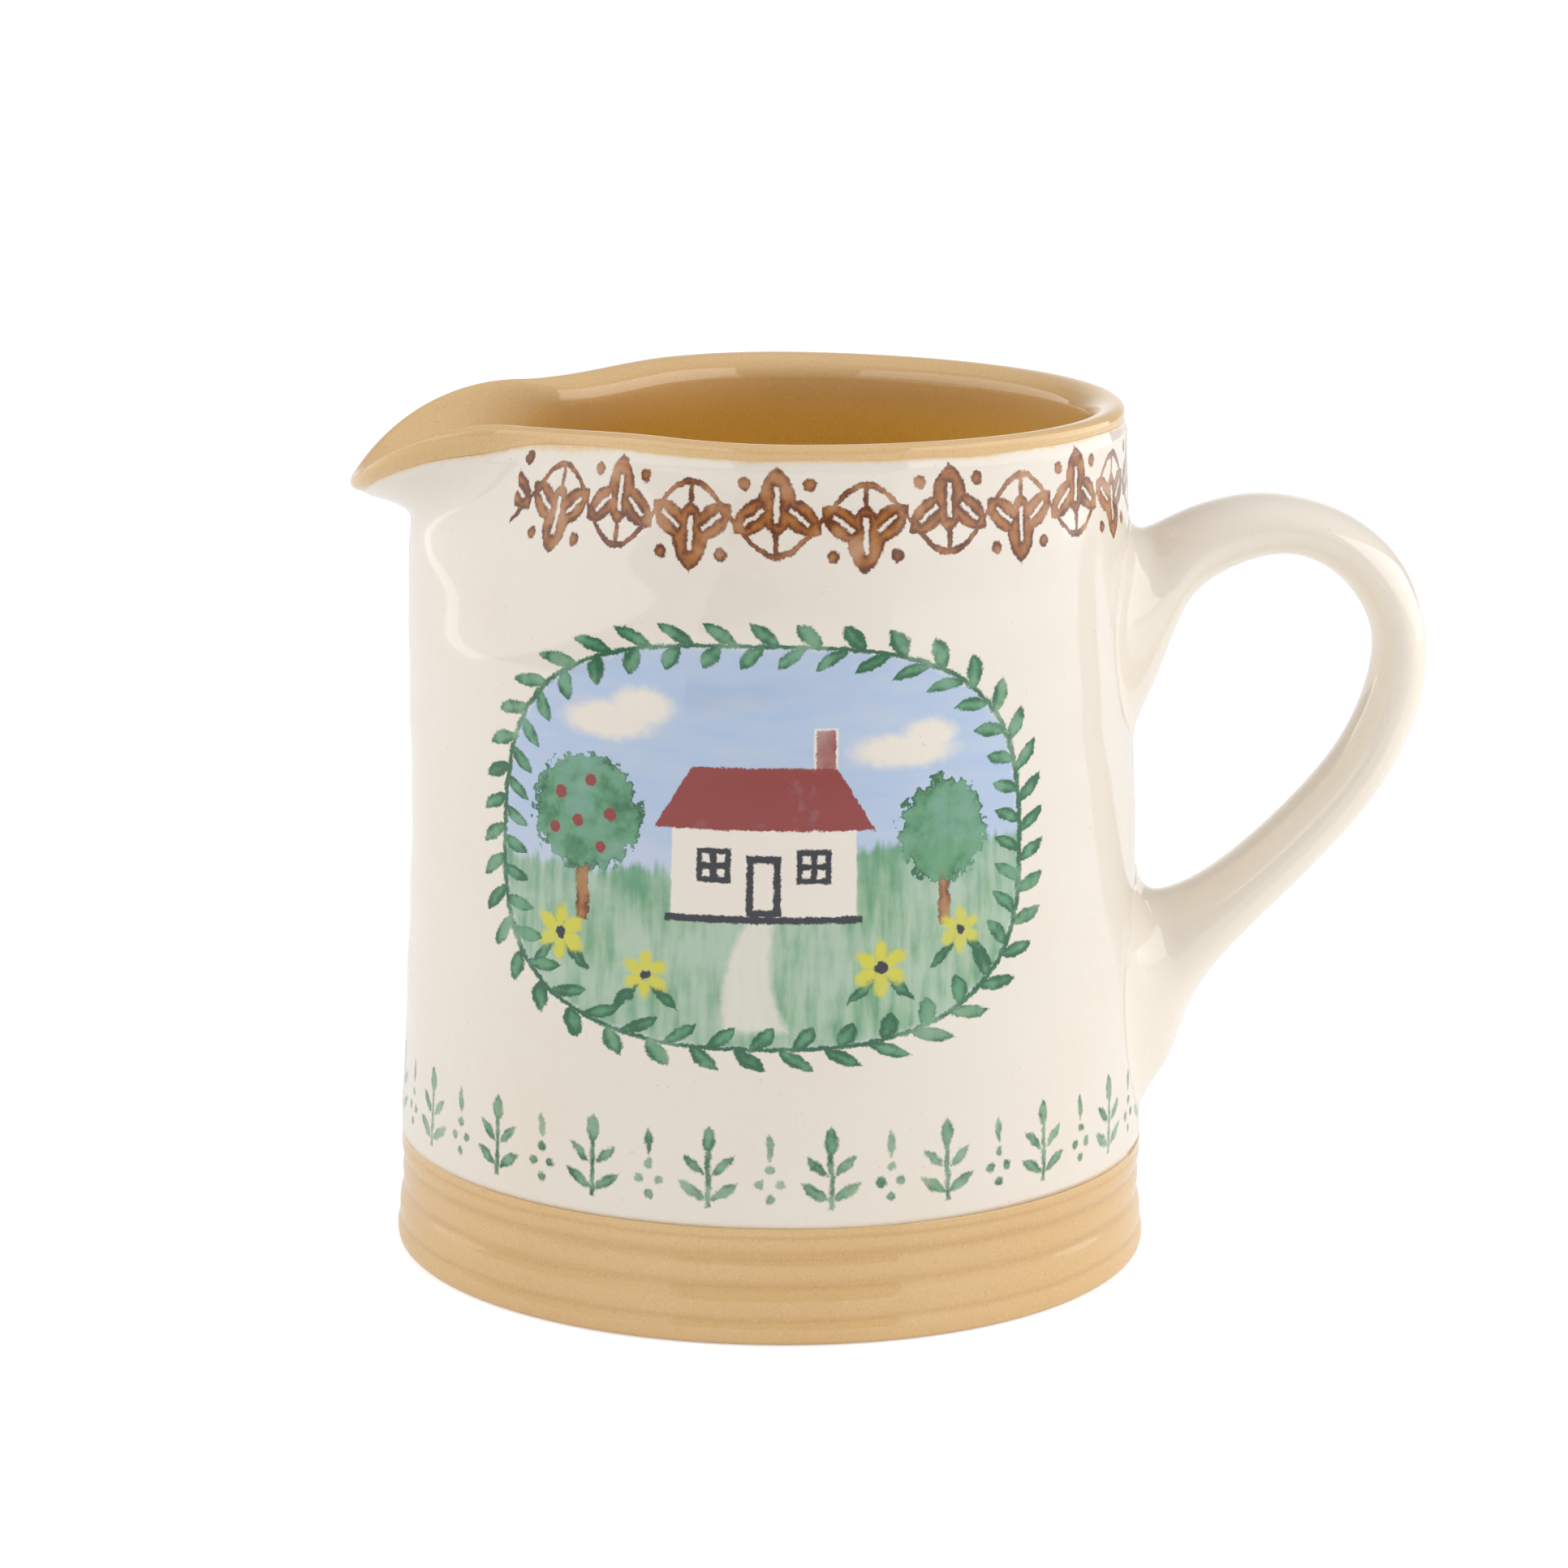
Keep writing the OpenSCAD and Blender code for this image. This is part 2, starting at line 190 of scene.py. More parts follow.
class JugStudio(PropertyGroup):
    """Places and strengths of the camera, the lights and the floor"""

    camera_distance: length("Distance", "Camera in front of the jug", 0.73123)
    camera_height: length("Height", "Camera above the table", 0.2296)
    camera_aside: length("Aside", "Camera to the right of the jug", 0.001395)
    camera_pitch: FloatProperty(
        name="Pitch", description="How far it looks down", default=0.216, subtype="ANGLE"
    )
    camera_roll: FloatProperty(
        name="Roll", description="Turn about its own axis", default=0.011, subtype="ANGLE"
    )
    lens: FloatProperty(name="Lens", description="Focal length in mm", default=115.15)
    softbox_turn: degrees("Softbox turn", "From the camera to each softbox's middle", 75.0)
    softbox_lean: degrees("Softbox lean", "How far its top leans from the camera", 18.0)
    softbox_distance: length("Softbox distance", "From the jug to each softbox", 1.1)
    softbox_outer: length("Outer half", "Width of its half away from the camera", 2.2)
    softbox_top: length("Softbox top", "How far it reaches up", 1.3)
    softbox_foot: length("Softbox foot", "How far it reaches below the table top", 0.35)
    softbox_split: length("Softbox split", "Where its brighter upper part begins", 0.2)
    left_inner: length("Left inner half", "Width of the left one's nearer half", 1.14)
    right_inner: length("Right inner half", "Width of the right one's nearer half", 0.83)
    left_low: share("Left low", "Brightness of the left softbox low down", 0.5)
    left_high: share("Left high", "Brightness of its upper part", 1.22)
    right_low: share("Right low", "Brightness of the right softbox low down", 0.75)
    right_high: share("Right high", "Brightness of its upper part", 1.65)
    side_light: share("Side light", "Brightness of the room on the right", 0.32)
    front_light: share("Front light", "Brightness round the camera", 0.37)
    back_light: share("Back light", "Brightness behind the jug", 0.15)
    horizon_light: share("Horizon light", "Brightness low behind the jug", 1.0)
    top_light: share("Top light", "Brightness overhead", 0.95)
    floor_glow: share("Floor glow", "How much whiter the camera sees the floor", 0.46)
    floor_glow_low: share("Floor glow low", "Share of that glow that the jug gets", 0.24)
    floor_reach: length("Floor reach", "From the jug to the edges of the floor", 4.5)
    floor: tint("Floor", "Pale floor", (0.93, 0.93, 0.93))


# Profile of the pot, in shares that keep it alike at any size.
GROOVE_HEIGHTS = (0.0, 0.227, 0.512, 0.762, 0.919, 1.0)
GROOVE_DEPTHS = (0.0, 0.1, 0.62, 0.72, 0.36, 0.3)
RIDGE_SWELLS = (1.0, 0.9, 0.8, 0.9, 0.3)
RIDGE_SOFTNESS = 0.02
WALL_CURVE = 1.2
DROP_CURVE = 5.1
SPOUT_SQUARE = 5.6
NECK_CURVE = 4.5
DROP_START = 0.3
THROAT_ANGLE = 1.6
MIDDLE_STEP = 0.5
WALL_CROWDING = 0.8
LIP_CROWDING = 0.6
# Rows of the pot's mesh along each stretch of its profile, and how many of them it keeps
# under the slip: one in so many.
UNDER_ROWS = 10
BAND_ROWS = 80
WALL_ROWS = 64
LIP_ROWS = 48
RIM_ROWS = 18
FLOOR_ROWS = 11
HIDDEN_ROWS = 4
# How far beside the slope of the hollow a row keeps the hollow flat, and the foot ring.
HOLLOW_EDGE = 1.0 * MM
RING_EDGE = 0.6 * MM
# From the rim down to where the inside has its full depth of colour: thicker glaze, and painted
# shade deeper in the pot.
INSIDE_GLAZE_AND_SHADE_DEEPEN = 11 * MM
# The slip's rows: those of the wall and the lip that its face is read from, those of the
# coat, how closely they crowd to its upper edge, how many its back keeps (one in so many),
# and how deep its back lies in the clay.
SLIP_WALL_ROWS = 96
SLIP_LIP_ROWS = 60
SLIP_ROWS = 150
SLIP_CROWDING = 1.35
SLIP_BACK_ROWS = 6
SLIP_BACK_SINK = 0.12 * MM
# The slip's lower edge: height and depth of its round, and over what height and how much
# the clay shows through there.
SLIP_FOOT_ROUND = 0.22 * MM
SLIP_FOOT_SINK = 0.05 * MM
SLIP_FOOT_WASH = 0.2 * MM
SLIP_FOOT_THIN = 0.4
# The slip's upper edge, by half angles of the spout: how fast it comes down beside the lip's
# middle, and where and how narrowly it drops further. Then how much wider it is wiped over
# the pinch, and within how many degrees.
EDGE_RISE = 1.5
EDGE_DROP_MIDDLE = 0.95
EDGE_DROP_NARROW = 1.7
PINCH_WIPED = 1.6
PINCH_WIPED_SPREAD = 16
# Mean and swing of the edge's waver, and how far the slip is laid thinner for its ripples.
WAVER_MEAN = 0.8
WAVER_SWING = 0.5
RIPPLE_ROOM = 1.2
# Seeds of the waviness on the band, inside the pot, on the slip and along its edge.
BAND_SEED = 3
INSIDE_SEED = 5
SLIP_SEED = 7
EDGE_SEED = 11
# The strap: sides round it, steps between two rows of its outline, how many steps they are
# smoothed over, rows along its middle and at each root, and how many blends a root takes up.
STRAP_SIDES = 96
STRAP_STEPS = 40
STRAP_SMOOTHING = 13.0
STRAP_ROWS = 150
ROOT_ROWS = 14
ROOT_RUN = 1.35
# The spine's ends and their fade, as shares of the strap's length, and its place round it.
SPINE_START = 0.5
SPINE_STOP = 0.76
SPINE_FADE = 0.08
SPINE_PLACE = 0.2
# The handle's outline from the upper root to the lower one: outer edge out and up,
# inner edge out and up, and width, as shares of the reach, the rise and the strap.
HANDLE_ROWS = (
    (-0.044, 0.931, -0.044, 0.608, 1.60),
    (0.077, 0.940, 0.080, 0.657, 1.50),
    (0.165, 0.962, 0.162, 0.764, 1.30),
    (0.296, 0.987, 0.244, 0.853, 1.12),
    (0.482, 1.000, 0.478, 0.907, 1.00),
    (0.735, 0.967, 0.658, 0.888, 0.97),
    (0.928, 0.878, 0.783, 0.822, 0.97),
    (1.000, 0.735, 0.820, 0.741, 0.97),
    (0.910, 0.575, 0.737, 0.613, 0.97),
    (0.702, 0.436, 0.548, 0.497, 1.00),
    (0.439, 0.304, 0.331, 0.399, 1.06),
    (0.272, 0.201, 0.171, 0.360, 1.16),
    (0.203, 0.095, 0.094, 0.366, 1.32),
    (0.112, 0.033, 0.044, 0.395, 1.46),
    (-0.011, 0.000, -0.033, 0.423, 1.50),
)
# The picture on the wall, in millimetres: the radius that its arcs are taken at, its middle
# along and up the wall, its half sizes, and how square its outline is, where 2 is an oval.
PICTURE_RADIUS = 53.6
PICTURE_ASIDE = 2.3
PICTURE_MIDDLE = 71.5
PICTURE_HALF_WIDTH = 40.0
PICTURE_HALF_HEIGHT = 28.4
PICTURE_SQUARE = 2.8
# The borders in millimetres: width of a hollow of the rim's wavy stem and of a sprig with its
# dots, how many go round the jug, and the height of their middles.
RIM_HOLLOW = 12.6
RIM_HOLLOWS = 26
RIM_BORDER_MIDDLE = 117.3
FOOT_PITCH = 17.6
FOOT_SPRIGS = 20
FOOT_BORDER_MIDDLE = 24.6
# The rim's border fades out between these angles from the lip, in radians.
LIP_GAP = (0.62, 0.66)
# A distance in millimetres that leaves a motif out.
FAR_OFF = 9
# The picture's motifs, in millimetres right and up from its middle, then their half sizes.
CLOUDS = (
    (-22.0, 17.0, 7.0, 2.6),
    (-17.0, 19.2, 4.6, 2.6),
    (21.0, 13.5, 7.5, 2.3),
    (25.0, 15.5, 4.0, 2.2),
)
CROWNS = ((-25.5, 3.6, 8.8, 8.2), (27.0, 2.0, 6.8, 7.4))
TRUNKS = ((-25.5, -7.4, 1.0, 4.4), (27.0, -7.6, 0.85, 4.0))
FRUIT = (
    (-29.5, 6.0, 0.95),
    (-24.6, 8.2, 0.9),
    (-21.4, 3.6, 0.95),
    (-26.6, 2.2, 0.9),
    (-30.4, 0.9, 0.85),
    (-22.8, -1.2, 0.8),
)
WALLS = (1.0, -3.4, 13.0, 6.4)
CHIMNEY = (9.6, 13.4, 1.7, 3.6)
WINDOWS = ((-6.0, -2.4, 2.0, 2.0), (8.0, -2.4, 2.0, 2.0))
GLAZING_BAR = 0.1
DOOR = (1.0, -5.2, 1.9, 3.8)
SILL = (1.0, -10.0, 13.4, 0.1)
# Flowers by their middle and their size as a share, then the petals of each, and the pairs of
# leaves round the picture with the width of each pair in millimetres.
FLOWERS = ((-29.0, -14.0, 1.0), (-15.5, -18.5, 0.85), (17.5, -17.0, 1.0), (29.5, -12.5, 0.8))
PETALS = 6
FRAME_LEAVES = 42
FRAME_LEAF_PITCH = 5.5
# How wide the glaze pools in each groove of the band, in millimetres.
POOL_WIDTHS = (0.45, 0.7, 0.75, 0.35)


def lerp(a, b, t):
    """From a to b as t goes from 0 to 1."""
    return a + (b - a) * t


def clamp(t):
    """No lower than 0 and no higher than 1."""
    return np.clip(t, 0.0, 1.0)


def ease(t):
    """0 to 1, level at both ends."""
    return clamp(t) ** 2 * (3 - 2 * clamp(t))


def hump(t):
    """1 at 0, falling softly to 0 at -1 and 1."""
    return np.where(np.abs(t) < 1, np.cos(np.pi / 2 * np.clip(t, -1, 1)) ** 2, 0.0)


def smoothed(values, width):
    """Values along the first axis, blurred over this many steps, ends kept."""
    reach = int(3 * width) + 1
    kernel = np.exp(-0.5 * (np.arange(-reach, reach + 1) / width) ** 2)
    kernel /= kernel.sum()
    ends = [(reach, reach)] + [(0, 0)] * (values.ndim - 1)
    padded = np.pad(values, ends, mode="reflect", reflect_type="odd")
    return np.apply_along_axis(lambda line: np.convolve(line, kernel, "valid"), 0, padded)


def ripple(turn, height, seed, waves=9, around=7, along=520.0):
    """Smooth seeded waviness of about plus or minus 1; turn is in degrees, height in metres."""
    chance = np.random.default_rng(seed)
    total = 0.0
    for _ in range(waves):
        times = chance.integers(0, around)
        climb = chance.uniform(-along, along)
        shift = chance.uniform(0, 2 * np.pi)
        total = total + np.sin(times * np.radians(turn) + climb * height + shift)
    return total / np.sqrt(waves)


class PotForm:
    """The pot's profile at every angle from the lip, from the sizes in the panel."""

    def __init__(self, scene):
        for group in (scene.jug_pot, scene.jug_lip):
            for key in group.__annotations__:
                setattr(self, key, getattr(group, key))
        self.wall_low_radius = self.foot_radius - self.wall_step
        self.wall_top_radius = self.wall_low_radius - self.wall_draw
        self.floor_top = self.recess_depth + self.floor_thickness
        self.straight_height = self.rim_height - self.wall_thickness
        self.throat_height = self.rim_height - self.throat_drop
        self.tip_radius = self.wall_top_radius - self.rim_edge + self.spout_reach
        tip_height = self.rim_height - self.rim_edge - self.spout_drop
        self.neck_height = tip_height - self.neck_rise
        self.drop_start = DROP_START * self.wall_top_radius
        steps = self.sections // 2
        part = np.arange(-steps, steps) / steps
        self.angles = 180 * part * lerp(MIDDLE_STEP, 1, np.abs(part))

    def wall_radius(self, z):
        """Radius of the wall's outer face, before the pinch and the throat."""
        up = (z - self.band_height) / (self.straight_height - self.band_height)
        return lerp(self.wall_low_radius, self.wall_top_radius, clamp(up) ** WALL_CURVE)

    def spout_pull(self, angle):
        return np.exp(-((np.abs(angle) / self.spout_half_angle) ** SPOUT_SQUARE))

    def pinch_pull(self, angle):
        return hump((np.abs(angle) - self.pinch_angle) / self.pinch_spread)

    def throat_pull(self, angle):
        return hump(angle / (THROAT_ANGLE * self.spout_half_angle))

    def rim_radius_at(self, angle):
        pulled = self.spout_reach * self.spout_pull(angle)
        pinched = self.pinch_depth * self.pinch_pull(angle)
        return self.wall_top_radius - self.rim_edge - pinched + pulled

    def rim_height_at(self, angle):
        out = self.rim_radius_at(angle) * np.cos(np.radians(angle)) - self.drop_start
        drop = self.spout_drop * clamp(out / (self.tip_radius - self.drop_start)) ** DROP_CURVE
        dip = self.dip_depth * hump((np.abs(angle) - self.dip_angle) / self.dip_spread)
        return self.rim_height - self.rim_edge - drop - dip

    def rim_inside_at(self, angle):
        """Width of the rim inwards from the middle of its small outer round."""
        return lerp(self.rim_thickness, self.lip_thickness, self.spout_pull(angle)) - self.rim_edge

    def rounded(self, depth):
        """Share of that width at a depth below the crest."""
        return np.sqrt(1 - clamp(1 - depth / self.rim_inside) ** 2)

    def round_in(self, z):
        down = clamp((self.floor_top + self.floor_round - z) / self.floor_round)
        return self.floor_round * (1 - np.sqrt(1 - down**2))

    def wall(self, wall_rows, lip_rows):
        """Line of the wall: radius, height, thickness outwards and inwards, and direction out."""
        angle = self.angles[:, None]
        top = self.rim_height_at(angle)
        up = (np.arange(wall_rows + 1) / wall_rows) ** WALL_CROWDING
        low = lerp(self.band_height, self.neck_height, up)
        up = (np.arange(1, lip_rows + 1) / lip_rows) ** LIP_CROWDING
        high = lerp(self.neck_height, top, up)
        z = np.concatenate([np.tile(low, (len(self.angles), 1)), high], axis=1)
        lift = clamp((z - self.neck_height) / (top - self.neck_height))
        half = self.wall_thickness / 2
        outward = lerp(half, self.rim_edge, ease(lift))
        inward = lerp(half + self.round_in(z), self.rim_inside_at(angle), ease(lift))
        inward = inward * self.rounded(top + self.rim_edge - z)
        pinch_lift = (z - self.rim_height + self.pinch_drop) / self.pinch_drop
        throat_lift = (z - self.throat_height) / (self.neck_height - self.throat_height)
        turn = self.spout_pull(angle) * lift**NECK_CURVE
        r = self.wall_radius(z) - outward
        r = r - self.pinch_depth * self.pinch_pull(angle) * ease(pinch_lift)
        r = r + self.throat_swell * self.throat_pull(angle) * ease(throat_lift) * (1 - turn)
        r = r + self.spout_reach * turn
        dr, dz = np.gradient(r, axis=1), np.gradient(z, axis=1)
        size = np.hypot(dr, dz)
        out_r, out_z = dz / size, -dr / size
        out_r[:, 0], out_z[:, 0] = 1.0, 0.0
        return r, z, outward, inward, out_r, out_z

    def stood(self, r, z):
        """Points of sections at their angles, the lip towards -X."""
        turn = np.radians(self.angles)[:, None]
        return np.stack([-r * np.cos(turn), r * np.sin(turn), z + 0 * r], axis=-1)

    def ridges(self, steps):
        """Profile of the band of ridges from the table up, with a rounded lower edge."""
        up = np.linspace(0, 1, steps)
        span = np.clip(np.searchsorted(GROOVE_HEIGHTS, up, side="right") - 1, 0, 4)
        starts, depths = np.array(GROOVE_HEIGHTS), np.array(GROOVE_DEPTHS)
        t = (up - starts[span]) / (starts[span + 1] - starts[span])
        depth = self.groove_depth * lerp(depths[span], depths[span + 1], t)
        bow = np.array(RIDGE_SWELLS)[span] * np.sin(np.pi * t) - 1
        r = smoothed(self.foot_radius - depth + self.ridge_swell * bow, steps * RIDGE_SOFTNESS)
        z = up * self.band_height
        tuck = clamp(1 - z / self.corner_round)
        return r - self.corner_round * (1 - np.sqrt(1 - tuck**2)), z


def skin(name, points, closed_ring=False, **marks):
    """A closed skin over sections of points, once round the jug or the strap.

    It carries an unwrapped map, so that a bake of its material keeps fine brushwork,
    and named marks, from 0 to 1 at each point, for its finish.
    """
    count, size = points.shape[:2]
    order = np.arange(count * size).reshape(count, size)
    poles = [k for k in (0, size - 1) if np.ptp(points[:, k], axis=0).max() < TINY]
    for k in poles:
        order[:, k] = order[0, k]
    rows = size if closed_ring else size - 1
    here, there = order, np.roll(order, -1, axis=0)
    step = [(j + 1) % size for j in range(rows)]
    quads = np.stack([here[:, :rows], there[:, :rows], there[:, step], here[:, step]], axis=-1)
    u = np.arange(count + 1) / count
    v = map_rows(points, rows, closed_ring)
    low = np.meshgrid(u[:-1], v[:-1], indexing="ij")
    high = np.meshgrid(u[1:], v[1:], indexing="ij")
    corners = ((low[0], low[1]), (high[0], low[1]), (high[0], high[1]), (low[0], high[1]))
    places = np.stack([np.stack(corner, axis=-1) for corner in corners], axis=-2)
    quads, places = quads.reshape(-1, 4), places.reshape(-1, 4, 2)
    a, b, c, d = (points.reshape(-1, 3)[quads[:, k]] for k in range(4))
    volume = np.einsum("ij,ij->", a, np.cross(b, c)) + np.einsum("ij,ij->", a, np.cross(c, d))
    if volume < 0:
        quads, places = quads[:, ::-1], places[:, ::-1]
    kept = np.stack([quads[:, k] != quads[:, k - 1] for k in range(4)], axis=1)
    used = np.unique(quads)
    new = np.full(count * size, -1)
    new[used] = np.arange(len(used))
    faces = [new[q[k]].tolist() for q, k in zip(quads, kept)]
    mesh = bpy.data.meshes.new(name)
    mesh.from_pydata(points.reshape(-1, 3)[used].tolist(), [], faces)
    bake_map = mesh.uv_layers.new(name="OFBake")
    bake_map.uv.foreach_set("vector", places[kept].astype(np.float32).ravel())
    mesh.polygons.foreach_set("use_smooth", np.ones(len(faces), bool))
    for title, values in marks.items():
        layer = mesh.attributes.new(title, "FLOAT", "POINT")
        layer.data.foreach_set("value", values.ravel()[used].astype(np.float32))
    mesh.update()
    piece = bpy.data.objects.new(name, mesh)
    bpy.context.scene.collection.objects.link(piece)
    return piece


def map_rows(points, rows, closed_ring):
    """Where each row lies on the map, by its length along the section."""
    steps = np.linalg.norm(np.diff(points, axis=1), axis=2).mean(axis=0)
    if closed_ring:
        steps = np.append(steps, np.linalg.norm(points[:, 0] - points[:, -1], axis=1).mean())
    along = np.concatenate([[0], np.cumsum(steps[:rows])])
    return along / along[-1]


def dress(piece, finish, slot, *nodes):
    """Gives a piece its material, its body and the nodes that it stands for."""
    piece.data.materials.append(finish)
    if nodes:
        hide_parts(*nodes)
    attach(piece, BODY)


def dress_node(name, finish):
    """Gives a CAD node that stays in view its material."""
    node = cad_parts[name]
    node.data.materials.clear()
    node.data.materials.append(finish)


class Value:
    """A number that changes over a surface: a socket with arithmetic."""

    def __init__(self, finish, socket):
        self.finish, self.socket = finish, socket

    def math(self, operation, *others, first=None):
        values = [self if first is None else first, *others]
        node = self.finish.node("Math", {"operation": operation}, dict(enumerate(values)))
        return Value(self.finish, node.outputs[0])

    def __add__(self, other):
        return self.math("ADD", other)

    __radd__ = __add__

    def __sub__(self, other):
        return self.math("SUBTRACT", other)

    def __rsub__(self, other):
        return self.math("SUBTRACT", self, first=other)

    def __mul__(self, other):
        return self.math("MULTIPLY", other)

    __rmul__ = __mul__

    def __truediv__(self, other):
        return self.math("DIVIDE", other)

    def __rtruediv__(self, other):
        return self.math("DIVIDE", self, first=other)

    def __pow__(self, other):
        return self.math("POWER", other)

    def __abs__(self):
        return self.math("ABSOLUTE")

    def least(self, other):
        return self.math("MINIMUM", other)

    def most(self, other):
        return self.math("MAXIMUM", other)

    def sine(self):
        return self.math("SINE")

    def cosine(self):
        return self.math("COSINE")

    def root(self):
        return self.math("SQRT")

    def whole(self):
        return self.math("FLOOR")

    def step(self, low, high):
        """0 at low, 1 at high, smooth between; low may be the larger."""
        settings = {"interpolation_type": "SMOOTHSTEP"}
        inputs = {"Value": self, "From Min": min(low, high), "From Max": max(low, high)}
        if low > high:
            inputs.update({"To Min": 1.0, "To Max": 0.0})
        node = self.finish.node("MapRange", settings, inputs)
        return Value(self.finish, node.outputs[0])


class Finish:
    """A material, or the world's light, in the making. One method adds every node."""

    def __init__(self, owner, place="Object", unit=MM):
        owner.use_nodes = True
        self.owner, self.tree = owner, owner.node_tree
        self.tree.nodes.clear()
        place = self.node("TexCoord").outputs[place]
        self.place = Value(self, self.scaled(place, 1 / unit))
        parts = self.node("SeparateXYZ", (), {0: self.place})
        self.x, self.y, self.z = (Value(self, parts.outputs[k]) for k in range(3))

    def node(self, kind, settings=(), inputs=()):
        made = self.tree.nodes.new("ShaderNode" + kind)
        for key, value in dict(settings).items():
            setattr(made, key, value)
        for key, value in dict(inputs).items():
            socket = made.inputs[key]
            if isinstance(value, Value):
                self.tree.links.new(value.socket, socket)
            elif isinstance(value, bpy.types.NodeSocket):
                self.tree.links.new(value, socket)
            else:
                socket.default_value = value
        return made

    def scaled(self, vector, by):
        inputs = {0: vector, "Scale": by}
        return self.node("VectorMath", {"operation": "SCALE"}, inputs).outputs[0]

    def joined(self, x, y, z=0.0):
        return self.node("CombineXYZ", (), {0: x, 1: y, 2: z}).outputs[0]

    def noise(self, size, detail=2.0, at=None, roughness=0.5, colour=False):
        """Noise from 0 to 1 with features of about this size in millimetres."""
        inputs = {"Vector": at or self.place, "Scale": 1 / size, "Detail": detail}
        inputs["Roughness"] = roughness
        made = self.node("TexNoise", {"noise_dimensions": "3D"}, inputs)
        return made.outputs["Color"] if colour else Value(self, made.outputs[0])

    def camera_sees(self):
        """1 where the camera itself looks, 0 where only light goes."""
        return self.node("LightPath").outputs["Is Camera Ray"]

    def mark(self, title):
        """What a piece's own mesh says, from 0 to 1, and 0 where it says nothing."""
        return Value(self, self.node("Attribute", {"attribute_name": title}).outputs["Fac"])

    def mixed(self, base, top, amount):
        """A colour laid over another by an amount from 0 to 1."""
        settings = {"data_type": "RGBA", "blend_type": "MIX"}
        made = self.node("Mix", settings, {0: amount, 6: colour(base), 7: colour(top)})
        return made.outputs[2]

    def shine(self, base, roughness, height=None, bump=0.0, **fixed):
        """The shader itself, with a fine bump in millimetres."""
        inputs = {"Base Color": colour(base), "Roughness": roughness}
        if height is not None:
            settings = {"Height": height, "Distance": bump * MM, "Strength": 1.0}
            inputs["Normal"] = self.node("Bump", (), settings).outputs[0]
        inputs.update({key.replace("_", " "): value for key, value in fixed.items()})
        shader = self.node("BsdfPrincipled", (), inputs)
        self.node("OutputMaterial", (), {0: shader.outputs[0]})
        return self.owner


def colour(value):
    """A colour as a Mix node takes it: a link, or three numbers with an opaque fourth."""
    return value if isinstance(value, bpy.types.NodeSocket) else (*value, 1.0)


def moved(x, y, right, up, turn=0.0):
    """The place as seen from a motif that stands at a spot and is turned in degrees."""
    x, y = x - right, y - up
    if not turn:
        return x, y
    cosine, sine = float(np.cos(np.radians(turn))), float(np.sin(np.radians(turn)))
    return x * cosine + y * sine, y * cosine - x * sine


def disc(x, y, radius):
    """Distance in millimetres from the edge of a disc, negative inside, as for all motifs."""
    return (x * x + y * y).root() - radius


def oval(x, y, half_width, half_height):
    """An oval, its distance true only near its edge."""
    reach = ((x / half_width) ** 2 + (y / half_height) ** 2).root()
    return (reach - 1) * min(half_width, half_height)


def leaf(x, y, half_length, half_width):
    """A pointed leaf that stands up along y."""
    radius = (half_length**2 + half_width**2) / (2 * half_width)
    across = abs(x) + (radius - half_width)
    return (across * across + y * y).root() - radius


def bar(x, y, half_width, half_height):
    """An upright rectangle."""
    return (abs(x) - half_width).most(abs(y) - half_height)


def whole_of(first, *others):
    """Several motifs as one."""
    for other in others:
        first = first.least(other)
    return first


def each(motif, x, y, rows):
    """Several of one motif, each row its middle right and up, then its half sizes."""
    return whole_of(*(motif(x - right, y - up, *halves) for right, up, *halves in rows))


class Brush:
    """Sponge and brush work on the slip, in millimetres along and up the wall."""

    # How far the noises move an outline, how much its edge and the sponge's load darken it,
    # and how unevenly it covers, about this mean.
    WARP_REACH = 1.3
    GRAIN_REACH = 0.5
    EDGE_POOL = 0.3
    LOAD_POOL = 0.22
    WASH_COVER = 0.5
    LOAD_COVER = 0.2
    MEAN_COVER = 0.36

    def __init__(self, finish, colours, base):
        self.finish, self.colours, self.base = finish, colours, base
        warp = finish.node("SeparateXYZ", (), {0: finish.noise(1.5, detail=2.0, colour=True)})
        self.warp_x = (Value(finish, warp.outputs[0]) - 0.5) * self.WARP_REACH
        self.warp_y = (Value(finish, warp.outputs[1]) - 0.5) * self.WARP_REACH
        self.grain = finish.noise(0.42, detail=1.0)
        self.wash = finish.noise(2.6, detail=3.0)
        self.load = finish.noise(8.5, detail=1.0).step(0.3, 0.7)

    def lay(self, distance, thin, deep, strength=0.92, pool=0.55, soft=0.16):
        """Paints a motif: thin wash inside, deeper where it pools at the edge and in blots."""
        edge = distance + (self.grain - 0.5) * self.GRAIN_REACH
        cover = edge.step(soft, -soft)
        rim = (edge.step(-1.0, 0.0) - 0.5) * self.EDGE_POOL + (self.load - 0.5) * self.LOAD_POOL
        blot = (self.wash + rim).step(pool - 0.2, pool + 0.22)
        ink = self.finish.mixed(thin, deep, blot)
        uneven = self.wash * self.WASH_COVER + self.load * self.LOAD_COVER
        amount = cover * (uneven + (strength - self.MEAN_COVER))
        self.base = self.finish.mixed(self.base, ink, amount.least(1.0))

    def fill(self, distance, top, soft=0.3, strength=1.0):
        """An even fill, such as bare slip kept clear inside a picture."""
        self.base = self.finish.mixed(self.base, top, distance.step(soft, -soft) * strength)


